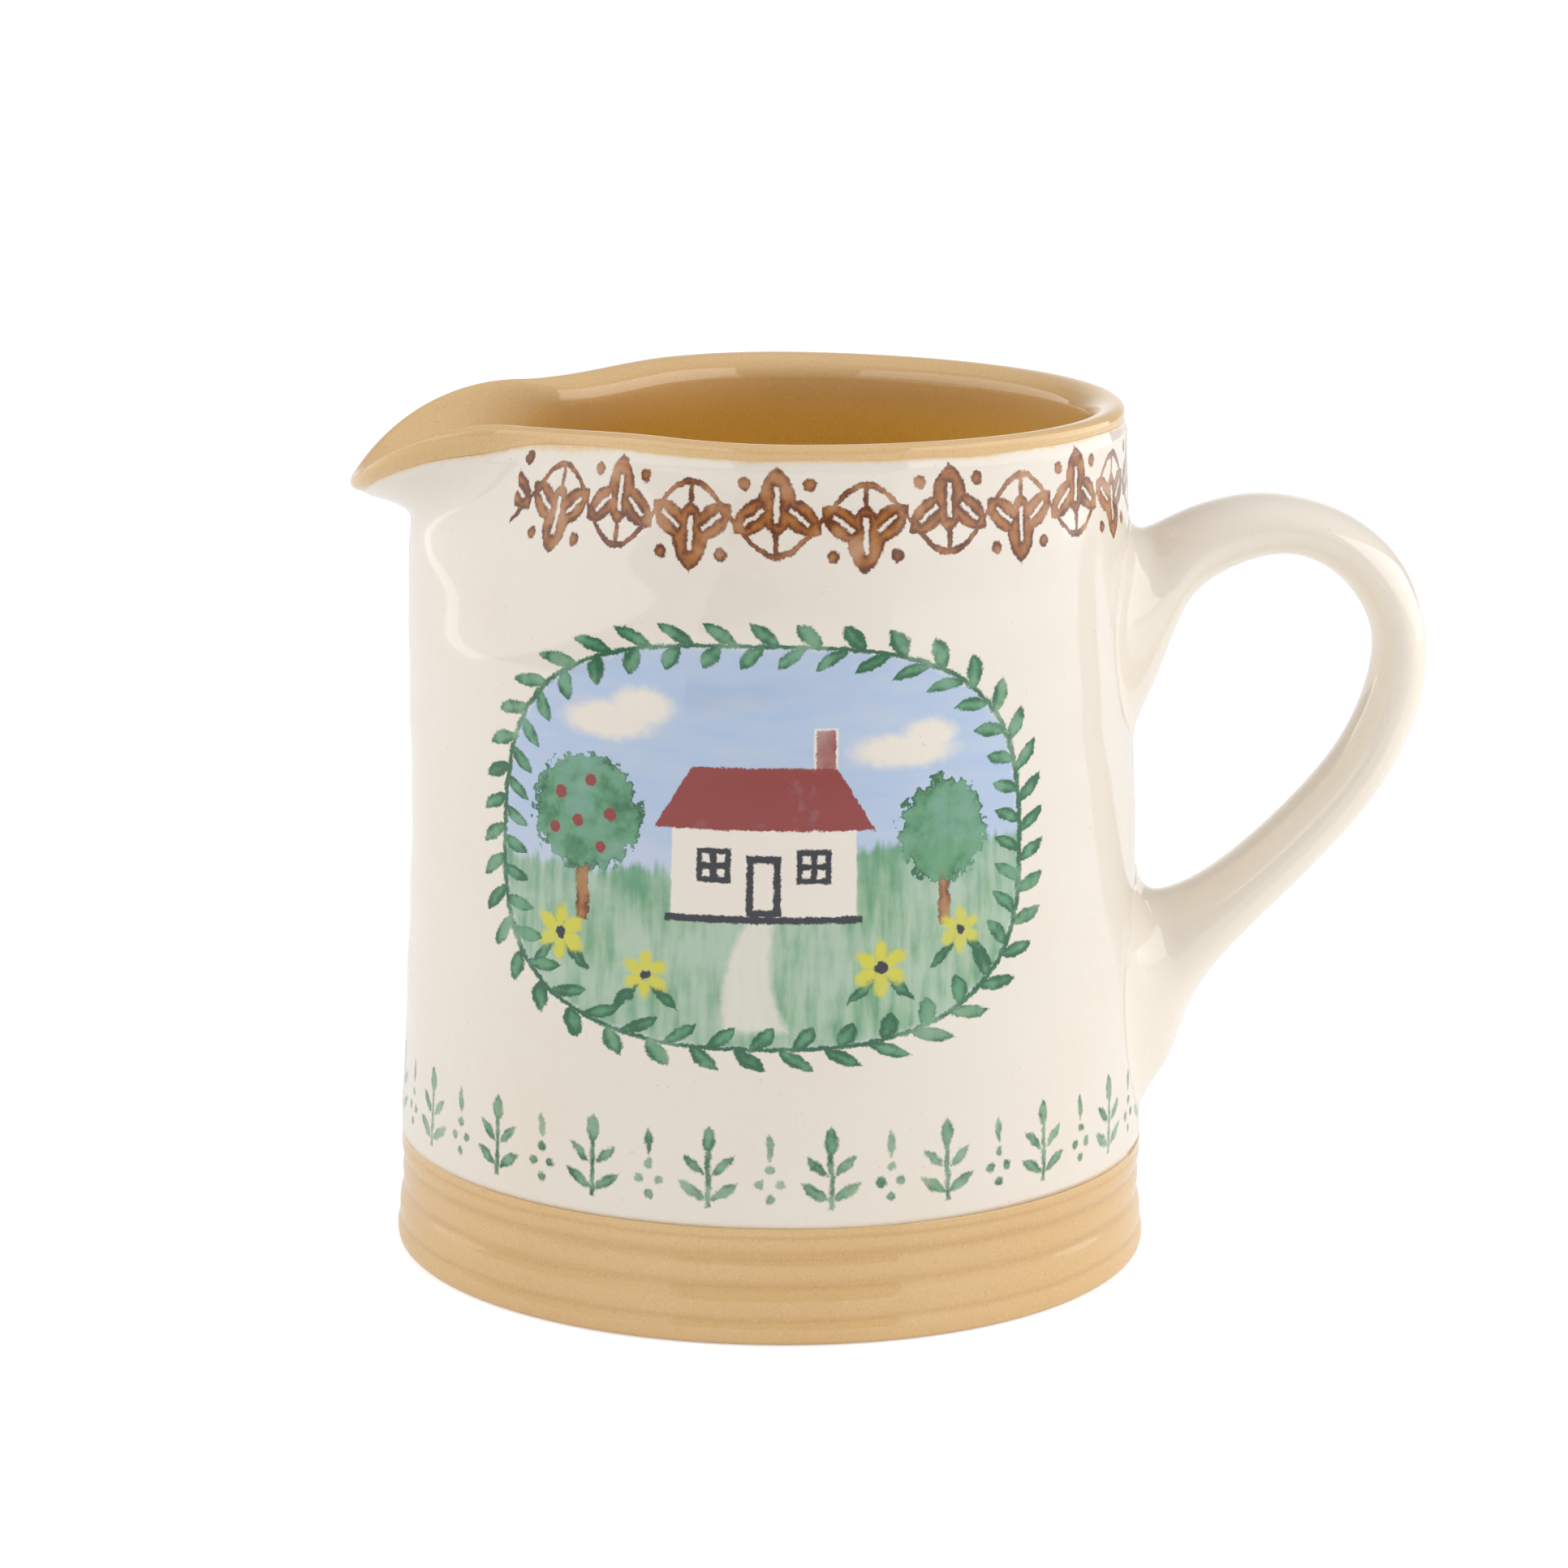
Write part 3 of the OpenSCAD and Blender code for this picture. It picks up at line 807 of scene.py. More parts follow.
def rim_border(brush, along, up):
    """A running stem with a trefoil leaf and berries in each hollow."""
    cell = (along / RIM_HOLLOW).whole()
    flip = 1 - 2 * cell.math("FLOORED_MODULO", 2.0)
    x = along - (cell + 0.5) * RIM_HOLLOW + brush.warp_x * 0.6
    y = up * flip + brush.warp_y * 0.6
    stem = abs(y - (x * (np.pi / RIM_HOLLOW)).cosine() * 4.9) - 0.5
    x1, y1 = moved(x, y, 0.0, -2.6)
    x2, y2 = moved(x, y, -3.2, -0.5, 52.0)
    x3, y3 = moved(x, y, 3.2, -0.5, -52.0)
    leaves = whole_of(leaf(x1, y1, 4.9, 2.7), leaf(x2, y2, 3.9, 2.1), leaf(x3, y3, 3.9, 2.1))
    veins = whole_of(
        bar(x1, y1 - 0.4, 0.28, 2.4), bar(x2, y2, 0.22, 1.7), bar(x3, y3, 0.22, 1.7)
    )
    leaves = leaves.most(0.05 - veins)
    stalk = bar(x, y - 2.6, 0.4, 2.2)
    berries = each(disc, x, y, ((4.6, -5.0, 0.95), (-4.6, -5.0, 0.95)))
    return whole_of(stem, leaves, stalk, berries)


def foot_border(brush, along, up):
    """A fern sprig and a cluster of dots by turns."""
    x = along - ((along / FOOT_PITCH).whole() + 0.5) * FOOT_PITCH + brush.warp_x * 0.8
    y = up + brush.warp_y * 0.8
    side = abs(x)
    x1, y1 = moved(side, y, 2.1, 1.6, -48.0)
    x2, y2 = moved(side, y, 2.3, -2.2, -58.0)
    stem = bar(x, y, 0.38, 4.6)
    tip = leaf(x, y - 5.2, 2.1, 0.95)
    fern = whole_of(stem, tip, leaf(x1, y1, 2.1, 0.72), leaf(x2, y2, 2.4, 0.8))
    gap = abs(side - FOOT_PITCH / 2)
    dots = each(disc, gap, y, ((1.5, -1.0, 0.72), (0.0, -3.2, 0.66), (0.0, 1.2, 0.66)))
    tick = leaf(gap, y - 4.4, 1.9, 0.6)
    return whole_of(fern, dots, tick)


def picture(brush, x, y):
    """A framed picture on each face: a cottage and trees in a meadow under a pale sky."""
    square = abs(x / PICTURE_HALF_WIDTH) ** PICTURE_SQUARE
    square = square + abs(y / PICTURE_HALF_HEIGHT) ** PICTURE_SQUARE
    edge = (square ** (1 / PICTURE_SQUARE) - 1) * PICTURE_HALF_HEIGHT
    inside = (edge + brush.warp_x * 1.2).step(0.4, -0.8)
    rough_x, rough_y = x + brush.warp_x, y + brush.warp_y
    picture_sky(brush, x, y, rough_x, rough_y, inside)
    picture_meadow(brush, x, y, inside, edge)
    picture_trees(brush, x, y, rough_x, rough_y)
    picture_cottage(brush, x, y)
    for right, up, size in FLOWERS:
        picture_flower(brush, *moved(rough_x, rough_y, right, up), size)
    picture_frame(brush, x, y, edge)


def picture_sky(brush, x, y, rough_x, rough_y, inside):
    """A streaky wash of blue that leaves the clouds bare."""
    finish = brush.finish
    streak = finish.noise(1.0, detail=3.0, at=finish.joined(x / 11.0, y / 2.4))
    cover = inside * (streak * 0.5 + 0.66 - (y + 4).step(10.0, -6.0) * 0.2)
    cover = cover * each(oval, rough_x, rough_y, CLOUDS).step(-0.9, 0.9)
    brush.base = finish.mixed(brush.base, brush.colours.sky, cover.least(1.0))


def picture_meadow(brush, x, y, inside, edge):
    """Upright tufts of green up to a soft hill line, and a pale path."""
    finish, colours = brush.finish, brush.colours
    tufts = finish.noise(1.0, detail=3.0, at=finish.joined(x / 1.5, y / 9.0))
    hill = (x / 17.0).sine() * 2.2 - 1.5
    ground = y - hill - (tufts - 0.5) * 5.0
    grass = inside * ground.step(0.7, -1.2)
    patches = finish.noise(7.0, detail=3.0)
    blades = tufts * 0.75 + patches * 0.55 + ground.step(-9.0, 0.0) * 0.14
    green = finish.mixed(colours.meadow, colours.green, blades.step(0.5, 0.95))
    brush.base = finish.mixed(brush.base, green, (grass * (patches * 0.55 + 0.62)).least(1.0))
    down = y + 8
    path = abs(x - 1.5 - (down / 7.0).sine() * 2.6) - (1.6 - down * 0.16)
    path = path.most(y + 8.6).most(edge + 2.5)
    brush.fill(path + brush.warp_y * 0.8, colours.slip, soft=0.7, strength=0.75)


def picture_trees(brush, x, y, rough_x, rough_y):
    """Two sponged trees, the left one in fruit."""
    colours = brush.colours
    sponge = (brush.finish.noise(1.15, detail=2.0) - 0.5) * 4.4
    brush.lay(each(bar, rough_x, y, TRUNKS), colours.brown, colours.brown_deep)
    crowns = each(oval, rough_x, rough_y, CROWNS) + sponge
    brush.lay(crowns, colours.green, colours.green_deep, strength=0.95, pool=0.5)
    fruit = each(disc, x, y, FRUIT) + brush.warp_x * 0.2
    brush.lay(fruit, colours.roof, colours.roof, strength=1.15)


def picture_cottage(brush, x, y):
    """Bare walls, a red roof and chimney, and dark brushwork round the openings."""
    colours = brush.colours
    walls, chimney = each(bar, x, y, [WALLS]), each(bar, x, y, [CHIMNEY])
    brush.fill(whole_of(walls, chimney) + brush.warp_x * 0.35, colours.slip, soft=0.2)
    slope = (abs(x - 1.0) + (y - 3.0) * 0.62 - 15.4).most(abs(y - 7.0) - 4.4)
    brush.lay(slope + brush.warp_y * 0.5, colours.roof, colours.roof, strength=1.1, pool=0.6)
    brush.lay(chimney + 0.3 + brush.warp_y * 0.3, colours.roof, colours.roof, strength=0.9, pool=0.6)
    strokes = [each(bar, x, y, [SILL]), abs(each(bar, x, y, [DOOR])) - 0.1]
    for right, up, wide, tall in WINDOWS:
        strokes.append(abs(bar(x - right, y - up, wide, tall)))
        strokes.append(bar(x - right, y - up, GLAZING_BAR, tall))
        strokes.append(bar(x - right, y - up, wide, GLAZING_BAR))
    lines = whole_of(*strokes) - 0.4 + brush.warp_x * 0.35
    brush.lay(lines, colours.ink, colours.ink, strength=1.2, pool=0.5)


def picture_flower(brush, x, y, size):
    """A yellow flower with a dark middle between two leaves."""
    colours = brush.colours
    sector = 2 * np.pi / PETALS
    turn = y.math("ARCTAN2", x) / sector
    fold = (turn - turn.whole() - 0.5) * sector
    out = disc(x, y, 0.0)
    petal = oval(out * fold.cosine() - 2.3 * size, out * fold.sine(), 1.75 * size, 1.05 * size)
    x1, y1 = moved(x, y, 2.9, -3.2, 48.0)
    x2, y2 = moved(x, y, -2.9, -3.4, -48.0)
    leaves = whole_of(leaf(x1, y1, 2.6, 0.75), leaf(x2, y2, 2.6, 0.75))
    brush.lay(leaves, colours.green, colours.green_deep, strength=1.05, pool=0.4)
    brush.lay(petal, colours.yellow, colours.green, strength=1.0, pool=0.86, soft=0.4)
    brush.lay(disc(x, y, 0.85 * size), colours.ink, colours.ink, strength=1.15)


def picture_frame(brush, x, y, edge):
    """A garland of leaves in pairs along the picture's edge."""
    colours = brush.colours
    turn = (y / PICTURE_HALF_HEIGHT).math("ARCTAN2", x / PICTURE_HALF_WIDTH)
    cell = turn * (FRAME_LEAVES / (2 * np.pi))
    along = (cell - cell.whole() - 0.5) * FRAME_LEAF_PITCH + brush.warp_x * 0.5
    out = edge + brush.warp_y * 0.5
    x1, y1 = moved(along, out, -0.7, 1.55, -50.0)
    x2, y2 = moved(along, out, 1.2, -1.55, 50.0)
    garland = whole_of(leaf(x1, y1, 2.5, 1.0), leaf(x2, y2, 2.5, 1.0), abs(out) - 0.3)
    brush.lay(garland, colours.green, colours.green_deep, strength=1.0, pool=0.5)


def painted(finish, colours, base):
    """The slip's colour with a picture on each face and the two borders."""
    brush = Brush(finish, colours, base)
    facing = finish.y.math("SIGN") * -1
    turn = (finish.x * facing).math("ARCTAN2", abs(finish.y))
    picture(brush, turn * PICTURE_RADIUS + PICTURE_ASIDE, finish.z - PICTURE_MIDDLE)
    around = finish.y.math("ARCTAN2", finish.x * -1)
    along = around * (RIM_HOLLOW * RIM_HOLLOWS / (2 * np.pi))
    rim = rim_border(brush, along, finish.z - RIM_BORDER_MIDDLE)
    rim = rim + (1 - abs(around).step(*LIP_GAP)) * FAR_OFF
    brush.lay(rim, colours.brown, colours.brown_deep, strength=1.0, pool=0.52)
    along = around * (FOOT_PITCH * FOOT_SPRIGS / (2 * np.pi))
    foot = foot_border(brush, along, finish.z - FOOT_BORDER_MIDDLE)
    brush.lay(foot, colours.green, colours.green_deep, strength=0.86, pool=0.62, soft=0.24)
    return brush.base


def slip_finish(scene, name, decorated):
    """Clear glaze over pale slip, on the wall with its painted work; on the handle a lighter copy of
    the slip, painted light against the shade it gets beside the body.
    """
    colours = scene.jug_colours
    finish = Finish(bpy.data.materials.new(name))
    cloud = finish.noise(26.0, detail=3.0) * 0.7 + finish.noise(1.1, detail=3.0) * 0.3
    # The handle takes a lighter copy of the slip: painted light against its shade beside the body.
    slip = colours.slip if decorated else colours.slip_lit_for_handle
    base = finish.mixed(slip, colours.slip_warm, cloud.step(0.42, 0.95) * 0.55)
    speck = finish.noise(0.55, detail=1.0).step(0.735, 0.79)
    speck = speck * finish.noise(5.0, detail=1.0).step(0.45, 0.65)
    base = finish.mixed(base, colours.slip_speck, speck * 0.5)
    thin = finish.mark("thin")
    thin = thin + thin * (finish.noise(1.6, detail=3.0) - 0.5) * 1.4
    base = finish.mixed(base, colours.clay, thin.step(0.08, 0.95) * 0.95)
    if decorated:
        base = painted(finish, colours, base)
    waves = finish.noise(9.0, detail=2.0) + finish.noise(1.4, detail=1.0) * 0.12
    roughness = finish.noise(14.0, detail=2.0) * 0.04 + 0.03
    return finish.shine(base, roughness, waves, bump=0.05, IOR=GLAZE_IOR)


def clay_finish(scene, name):
    """Clear glaze over tan clay: darker where it pools, grainy, deeper inside the pot with thicker
    glaze and painted shade, and unglazed on the foot ring and along the foot's lower edge, where
    that darker band is a painted contact shadow.
    """
    colours = scene.jug_colours
    finish = Finish(bpy.data.materials.new(name))
    band = scene.jug_pot.band_height / MM
    pooled = finish.noise(30.0, detail=2.0) * 0.3
    wobble = (finish.noise(12.0, detail=2.0) - 0.5) * 0.5
    for height, width in zip(GROOVE_HEIGHTS[1:-1], POOL_WIDTHS):
        off = (finish.z + wobble - height * band) / width
        pooled = pooled + (off * off * -1).math("EXPONENT") * 0.32
    base = finish.mixed(colours.clay, colours.clay_pool, pooled.least(1.0))
    # Inside the pot the colour deepens below the rim: thicker glaze and painted shade.
    base = finish.mixed(base, colours.inside_glaze_and_shade, finish.mark("inside") * 0.85)
    grain = finish.noise(0.36, detail=2.0, roughness=0.6)
    base = finish.mixed(base, colours.clay_light, grain.step(0.54, 0.78) * 0.34)
    base = finish.mixed(base, colours.clay_speck, grain.step(0.42, 0.3) * 0.18)
    # Below this height the clay is unglazed: the real foot ring underneath, and round the foot's
    # lower edge a darker band that is a painted contact shadow.
    unglazed_and_contact_shade = finish.z.step(0.45, 0.15)
    base = finish.mixed(base, colours.bare_clay_and_contact_shade, unglazed_and_contact_shade)
    waves = finish.noise(7.0, detail=2.0) + finish.noise(0.9, detail=1.0) * 0.12
    roughness = finish.noise(14.0, detail=2.0) * 0.05 + 0.03 + unglazed_and_contact_shade * 0.5
    return finish.shine(base, roughness, waves, bump=0.05, IOR=GLAZE_IOR)


def luting_finish(scene, name):
    """Dull fired slip with a fine grain, in the joints of the handle."""
    colours = scene.jug_colours
    finish = Finish(bpy.data.materials.new(name))
    grain = finish.noise(0.8, detail=3.0)
    base = finish.mixed(colours.luting, colours.clay_speck, grain * 0.4)
    return finish.shine(base, grain * 0.2 + 0.55, grain, bump=0.1)


class JUG_OT_pot(Operator):
    """Throw the pot: foot, floor, wall, rim and lip in one skin of clay"""

    bl_idname = "jug.pot"
    bl_label = "Clay pot"

    def execute(self, context):
        form = PotForm(context.scene)
        turn = form.angles[:, None]
        r, z, outward, inward, out_r, out_z = form.wall(WALL_ROWS, LIP_ROWS)
        keep = np.r_[0:WALL_ROWS:HIDDEN_ROWS, WALL_ROWS : r.shape[1]]
        outer = (r + outward * out_r, z + outward * out_z)
        inner = (r - inward * out_r, z - inward * out_z)
        top = [values[:, -1:] for values in (r, z, out_r, out_z)]
        # Each stretch of the profile, its share of the hands' ripple, the seed of that, and
        # 1 where it is inside.
        stretches = (
            (self.underside(form), 0, None, 0),
            (form.ridges(BAND_ROWS), 1, BAND_SEED, 0),
            ((outer[0][:, keep], outer[1][:, keep]), 0, None, 0),
            (self.rim(form, *top), 0.6, INSIDE_SEED, 0),
            ((inner[0][:, ::-1], inner[1][:, ::-1]), 1.6, INSIDE_SEED, 1),
            (self.floor_round(form), 1.2, INSIDE_SEED, 1),
            (self.floor(form), 0, None, 1),
        )
        sections, marks = [], []
        for (part_r, part_z), waver, seed, inside in stretches:
            part_r, part_z = part_r + 0 * turn, part_z + 0 * turn
            if waver:
                side = -1 if seed == INSIDE_SEED else 1
                part_r = part_r + side * form.hand_ripple * waver * ripple(turn, part_z, seed)
            sections.append(form.stood(part_r, part_z))
            # The inside mark grows with depth below the rim. It brings in the inside colour: thick
            # glaze with painted shade.
            below = form.rim_height_at(turn) - part_z
            marks.append(inside * ease(below / INSIDE_GLAZE_AND_SHADE_DEEPEN))
        points, marks = np.concatenate(sections, axis=1), np.concatenate(marks, axis=1)
        piece = skin("thrown_pot", points, inside=marks)
        dress(piece, clay_finish(context.scene, "clear_glaze_on_clay"), "clay", "body")
        return {"FINISHED"}

    def underside(self, form):
        """The hollow inside the foot ring, its slope and the start of the ring."""
        ring = form.foot_radius - form.ridge_swell - form.ring_width
        slope = ring - form.recess_depth
        flat = np.linspace(0, slope - HOLLOW_EDGE, UNDER_ROWS)
        hollow = np.full(UNDER_ROWS + 1, form.recess_depth)
        return np.array([*flat, slope, ring, ring + RING_EDGE]), np.array([*hollow, 0.0, 0.0])

    def rim(self, form, end_r, end_z, out_r, out_z):
        """The rim's small round up to the crest, then the upper end of the long round."""
        arc = np.linspace(0, np.pi, RIM_ROWS + 2)[1:-1]
        depth = form.rim_edge * (1 - np.sin(arc))
        width = -form.rim_inside_at(form.angles[:, None]) * form.rounded(depth)
        width = np.where(arc < np.pi / 2, form.rim_edge * np.cos(arc), width)
        rise = form.rim_edge * np.sin(arc)
        return end_r + width * out_r - rise * out_z, end_z + width * out_z + rise * out_r

    def floor_round(self, form):
        """The round inside from the wall down to the floor."""
        sag = 1 - np.cos(np.linspace(np.pi / 2, 0, FLOOR_ROWS + 1))
        z = lerp(form.floor_top, form.band_height, sag)[1:]
        return form.wall_radius(z) - form.wall_thickness - form.round_in(z), z

    def floor(self, form):
        """The flat floor, from that round to the middle."""
        edge = self.floor_round(form)[0][-1]
        return np.linspace(edge, 0, FLOOR_ROWS + 1)[1:], np.full(FLOOR_ROWS, form.floor_top)


class JUG_OT_wall_slip(Operator):
    """Coat the wall with pale slip, from the band up to a wiped edge under the rim"""

    bl_idname = "jug.wall_slip"
    bl_label = "Slip on the wall"

    def execute(self, context):
        form = PotForm(context.scene)
        turn = form.angles[:, None]
        r, z, out_r, out_z, left = self.face(form)
        edge = clamp(left / form.slip_feather)
        bottom = clamp((z - form.band_height) / SLIP_FOOT_ROUND)
        depth = form.slip_thickness * ease(edge)
        depth = depth - SLIP_FOOT_SINK * (1 - np.sqrt(1 - (1 - bottom) ** 2))
        depth = depth + form.hand_ripple * ripple(turn, z, SLIP_SEED) * edge
        depth = depth - form.hand_ripple * RIPPLE_ROOM * edge
        # Where the slip is wiped thin, most of all over the pinch, the clay shows through.
        over_pinch = hump((np.abs(turn) - form.pinch_angle) / PINCH_WIPED_SPREAD)
        thin = np.exp(-left / (form.slip_wash * (1 + PINCH_WIPED * over_pinch)))
        thin = thin + SLIP_FOOT_THIN * np.exp((form.band_height - z) / SLIP_FOOT_WASH)
        front = form.stood(r + depth * out_r, z + depth * out_z)
        back = np.r_[0:SLIP_ROWS:SLIP_BACK_ROWS][::-1]
        behind = form.stood(r[:, back] - SLIP_BACK_SINK, z[:, back])
        points = np.concatenate([front, behind], axis=1)
        thin = np.concatenate([thin, thin[:, back]], axis=1)
        piece = skin("wall_slip_coat", points, closed_ring=True, thin=thin)
        finish = slip_finish(context.scene, "clear_glaze_on_wall_slip", True)
        dress(piece, finish, "slip", "wall_slip")
        return {"FINISHED"}

    def face(self, form):
        """Rows of the wall's face up to the slip's edge, and how far each lies below it."""
        r, z, outward, _, out_r, out_z = form.wall(SLIP_WALL_ROWS, SLIP_LIP_ROWS)
        face = np.stack([r + outward * out_r, z + outward * out_z, out_r, out_z])
        turn = form.angles
        off_lip = np.abs(turn) / form.spout_half_angle
        short = form.slip_below_rim * ease(off_lip * EDGE_RISE)
        drop = hump((off_lip - EDGE_DROP_MIDDLE) * EDGE_DROP_NARROW)
        short = short + form.slip_below_lip * drop
        waver = ripple(turn, 0.0, EDGE_SEED, around=23) * WAVER_SWING + WAVER_MEAN
        short = short + form.slip_waver * waver
        part = 1 - (1 - np.linspace(0, 1, SLIP_ROWS)) ** SLIP_CROWDING
        rows = np.zeros((4, len(turn), SLIP_ROWS))
        left = np.zeros((len(turn), SLIP_ROWS))
        for i in range(len(turn)):
            steps = np.hypot(*np.diff(face[:2, i], axis=1))
            along = np.concatenate([[0], np.cumsum(steps)])
            want = (along[-1] - short[i]) * part
            left[i] = want[-1] - want
            for k in range(4):
                rows[k, i] = np.interp(want, along, face[k, i])
        return (*rows, left)


class JUG_OT_handle(Operator):
    """Pull the handle's slip-coated skin and blend its roots into the wall"""

    bl_idname = "jug.handle"
    bl_label = "Handle"

    def execute(self, context):
        form, size = PotForm(context.scene), context.scene.jug_handle
        path = self.path(form, size)
        turns = 2 * np.pi * np.arange(STRAP_SIDES) / STRAP_SIDES
        surface = self.surface(path, turns, size)
        lines = [self.line(form, size, surface[:, k], turn) for k, turn in enumerate(turns)]
        piece = skin("handle_slip_coat", np.stack(lines))
        finish = slip_finish(context.scene, "clear_glaze_on_handle_slip", False)
        dress(piece, finish, "slip", "handle_slip")
        dress_node("handle", clay_finish(context.scene, "clay_of_handle"))
        return {"FINISHED"}

    def path(self, form, size):
        """The strap's outline: outer out and up, inner out and up, width, in even steps."""
        scale = [size.reach, size.rise, size.reach, size.rise, size.strap_width]
        start = [form.wall_top_radius, size.foot, form.wall_top_radius, size.foot, 0]
        rows = np.array(HANDLE_ROWS) * scale + start
        ends = np.concatenate([2 * rows[:1] - rows[1:2], rows, 2 * rows[-1:] - rows[-2:-1]])
        t = np.arange(STRAP_STEPS)[:, None] / STRAP_STEPS
        spans = []
        for a, b, c, d in zip(ends, ends[1:], ends[2:], ends[3:]):
            curve = 2 * b + (c - a) * t + (2 * a - 5 * b + 4 * c - d) * t**2
            spans.append((curve + (3 * b - a - 3 * c + d) * t**3) / 2)
        return smoothed(np.concatenate([*spans, rows[-1:]]), STRAP_SMOOTHING)

    def surface(self, path, turns, size):
        """Points of the strap's skin, steps along it by turns round it."""
        outer = np.stack([path[:, 0], 0 * path[:, 0], path[:, 1]], axis=-1)
        inner = np.stack([path[:, 2], 0 * path[:, 0], path[:, 3]], axis=-1)
        across = outer - inner
        half = np.linalg.norm(across, axis=-1) / 2
        across = across / (2 * half[:, None])
        cosine, sine = np.cos(turns), np.sin(turns)
        along = np.arange(len(path)) / (len(path) - 1)
        fade = ease((along - SPINE_START) / SPINE_FADE) * ease((SPINE_STOP - along) / SPINE_FADE)
        off = (cosine[None, :] - SPINE_PLACE) * half[:, None] / size.spine_width
        lift = (size.spine_height * fade)[:, None] * np.exp(-(off**2))
        out = (half[:, None] * cosine)[..., None] * across[:, None, :]
        wide = path[:, 4:5] / 2 * sine + lift * np.sign(sine)
        return (outer + inner)[:, None, :] / 2 + out + wide[..., None] * SIDEWAYS

    def line(self, form, size, points, turn):
        """One line along the strap, cut at the wall and flared onto it at both ends."""
        coat = form.slip_thickness
        far = np.hypot(points[:, 0], points[:, 1]) - form.wall_radius(points[:, 2]) - coat
        clear = np.nonzero(far > 0)[0]
        first, last = clear[0], clear[-1]
        steps = np.linalg.norm(np.diff(points, axis=0), axis=1)
        along = np.concatenate([[0], np.cumsum(steps)])
        start = along[first - 1] + steps[first - 1] * far[first - 1] / (far[first - 1] - far[first])
        stop = along[last] + steps[last] * far[last] / (far[last] - far[last + 1])
        blend = lerp(size.blend_ends, size.blend_sides, np.sin(turn) ** 2)
        near = ROOT_RUN * blend * (1 - np.cos(np.linspace(0, np.pi / 2, ROOT_ROWS)))
        middle = np.linspace(start + near[-1], stop - near[-1], STRAP_ROWS)[1:-1]
        sunk = [start - size.root_sink], [stop + size.root_sink]
        want = np.concatenate([sunk[0], start + near, middle, stop - near[::-1], sunk[1]])
        here = np.stack([np.interp(want, along, points[:, k]) for k in range(3)], axis=-1)
        reach = np.hypot(here[:, 0], here[:, 1])
        radial = here * [1, 1, 0] / reach[:, None]
        gap = reach - form.wall_radius(here[:, 2]) - coat
        normal = self.normal(points, along, want, turn)
        flat = normal - np.einsum("ij,ij->i", normal, radial)[:, None] * radial
        flat = flat / np.maximum(np.linalg.norm(flat, axis=1), TINY)[:, None]
        flare = blend * (1 - np.sqrt(1 - (1 - clamp(gap / blend)) ** 2))
        flared = here + flat * flare[:, None]
        # On the wall itself the flared edge follows the wall's round again.
        wanted = form.wall_radius(flared[:, 2]) + coat + gap
        pull = np.where(gap < blend, wanted / np.hypot(flared[:, 0], flared[:, 1]), 1.0)
        flared[:, :2] *= pull[:, None]
        return flared

    def normal(self, points, along, want, turn):
        """Direction away from the strap's middle, square to its run."""
        run = np.gradient(points, axis=0)
        run = np.stack([np.interp(want, along, run[:, k]) for k in range(3)], axis=-1)
        run = run / np.linalg.norm(run, axis=1)[:, None]
        up = np.cross(run, SIDEWAYS)
        away = up * np.cos(turn) + SIDEWAYS * np.sin(turn)
        away = away - np.einsum("ij,ij->i", away, run)[:, None] * run
        return away / np.linalg.norm(away, axis=1)[:, None]


class JUG_OT_luting(Operator):
    """Give the two layers of joining slip their finish"""

    bl_idname = "jug.luting"
    bl_label = "Joining slip"

    def execute(self, context):
        finish = luting_finish(context.scene, "fired_joining_slip")
        for name in ("upper_luting", "lower_luting"):
            dress_node(name, finish)
        return {"FINISHED"}


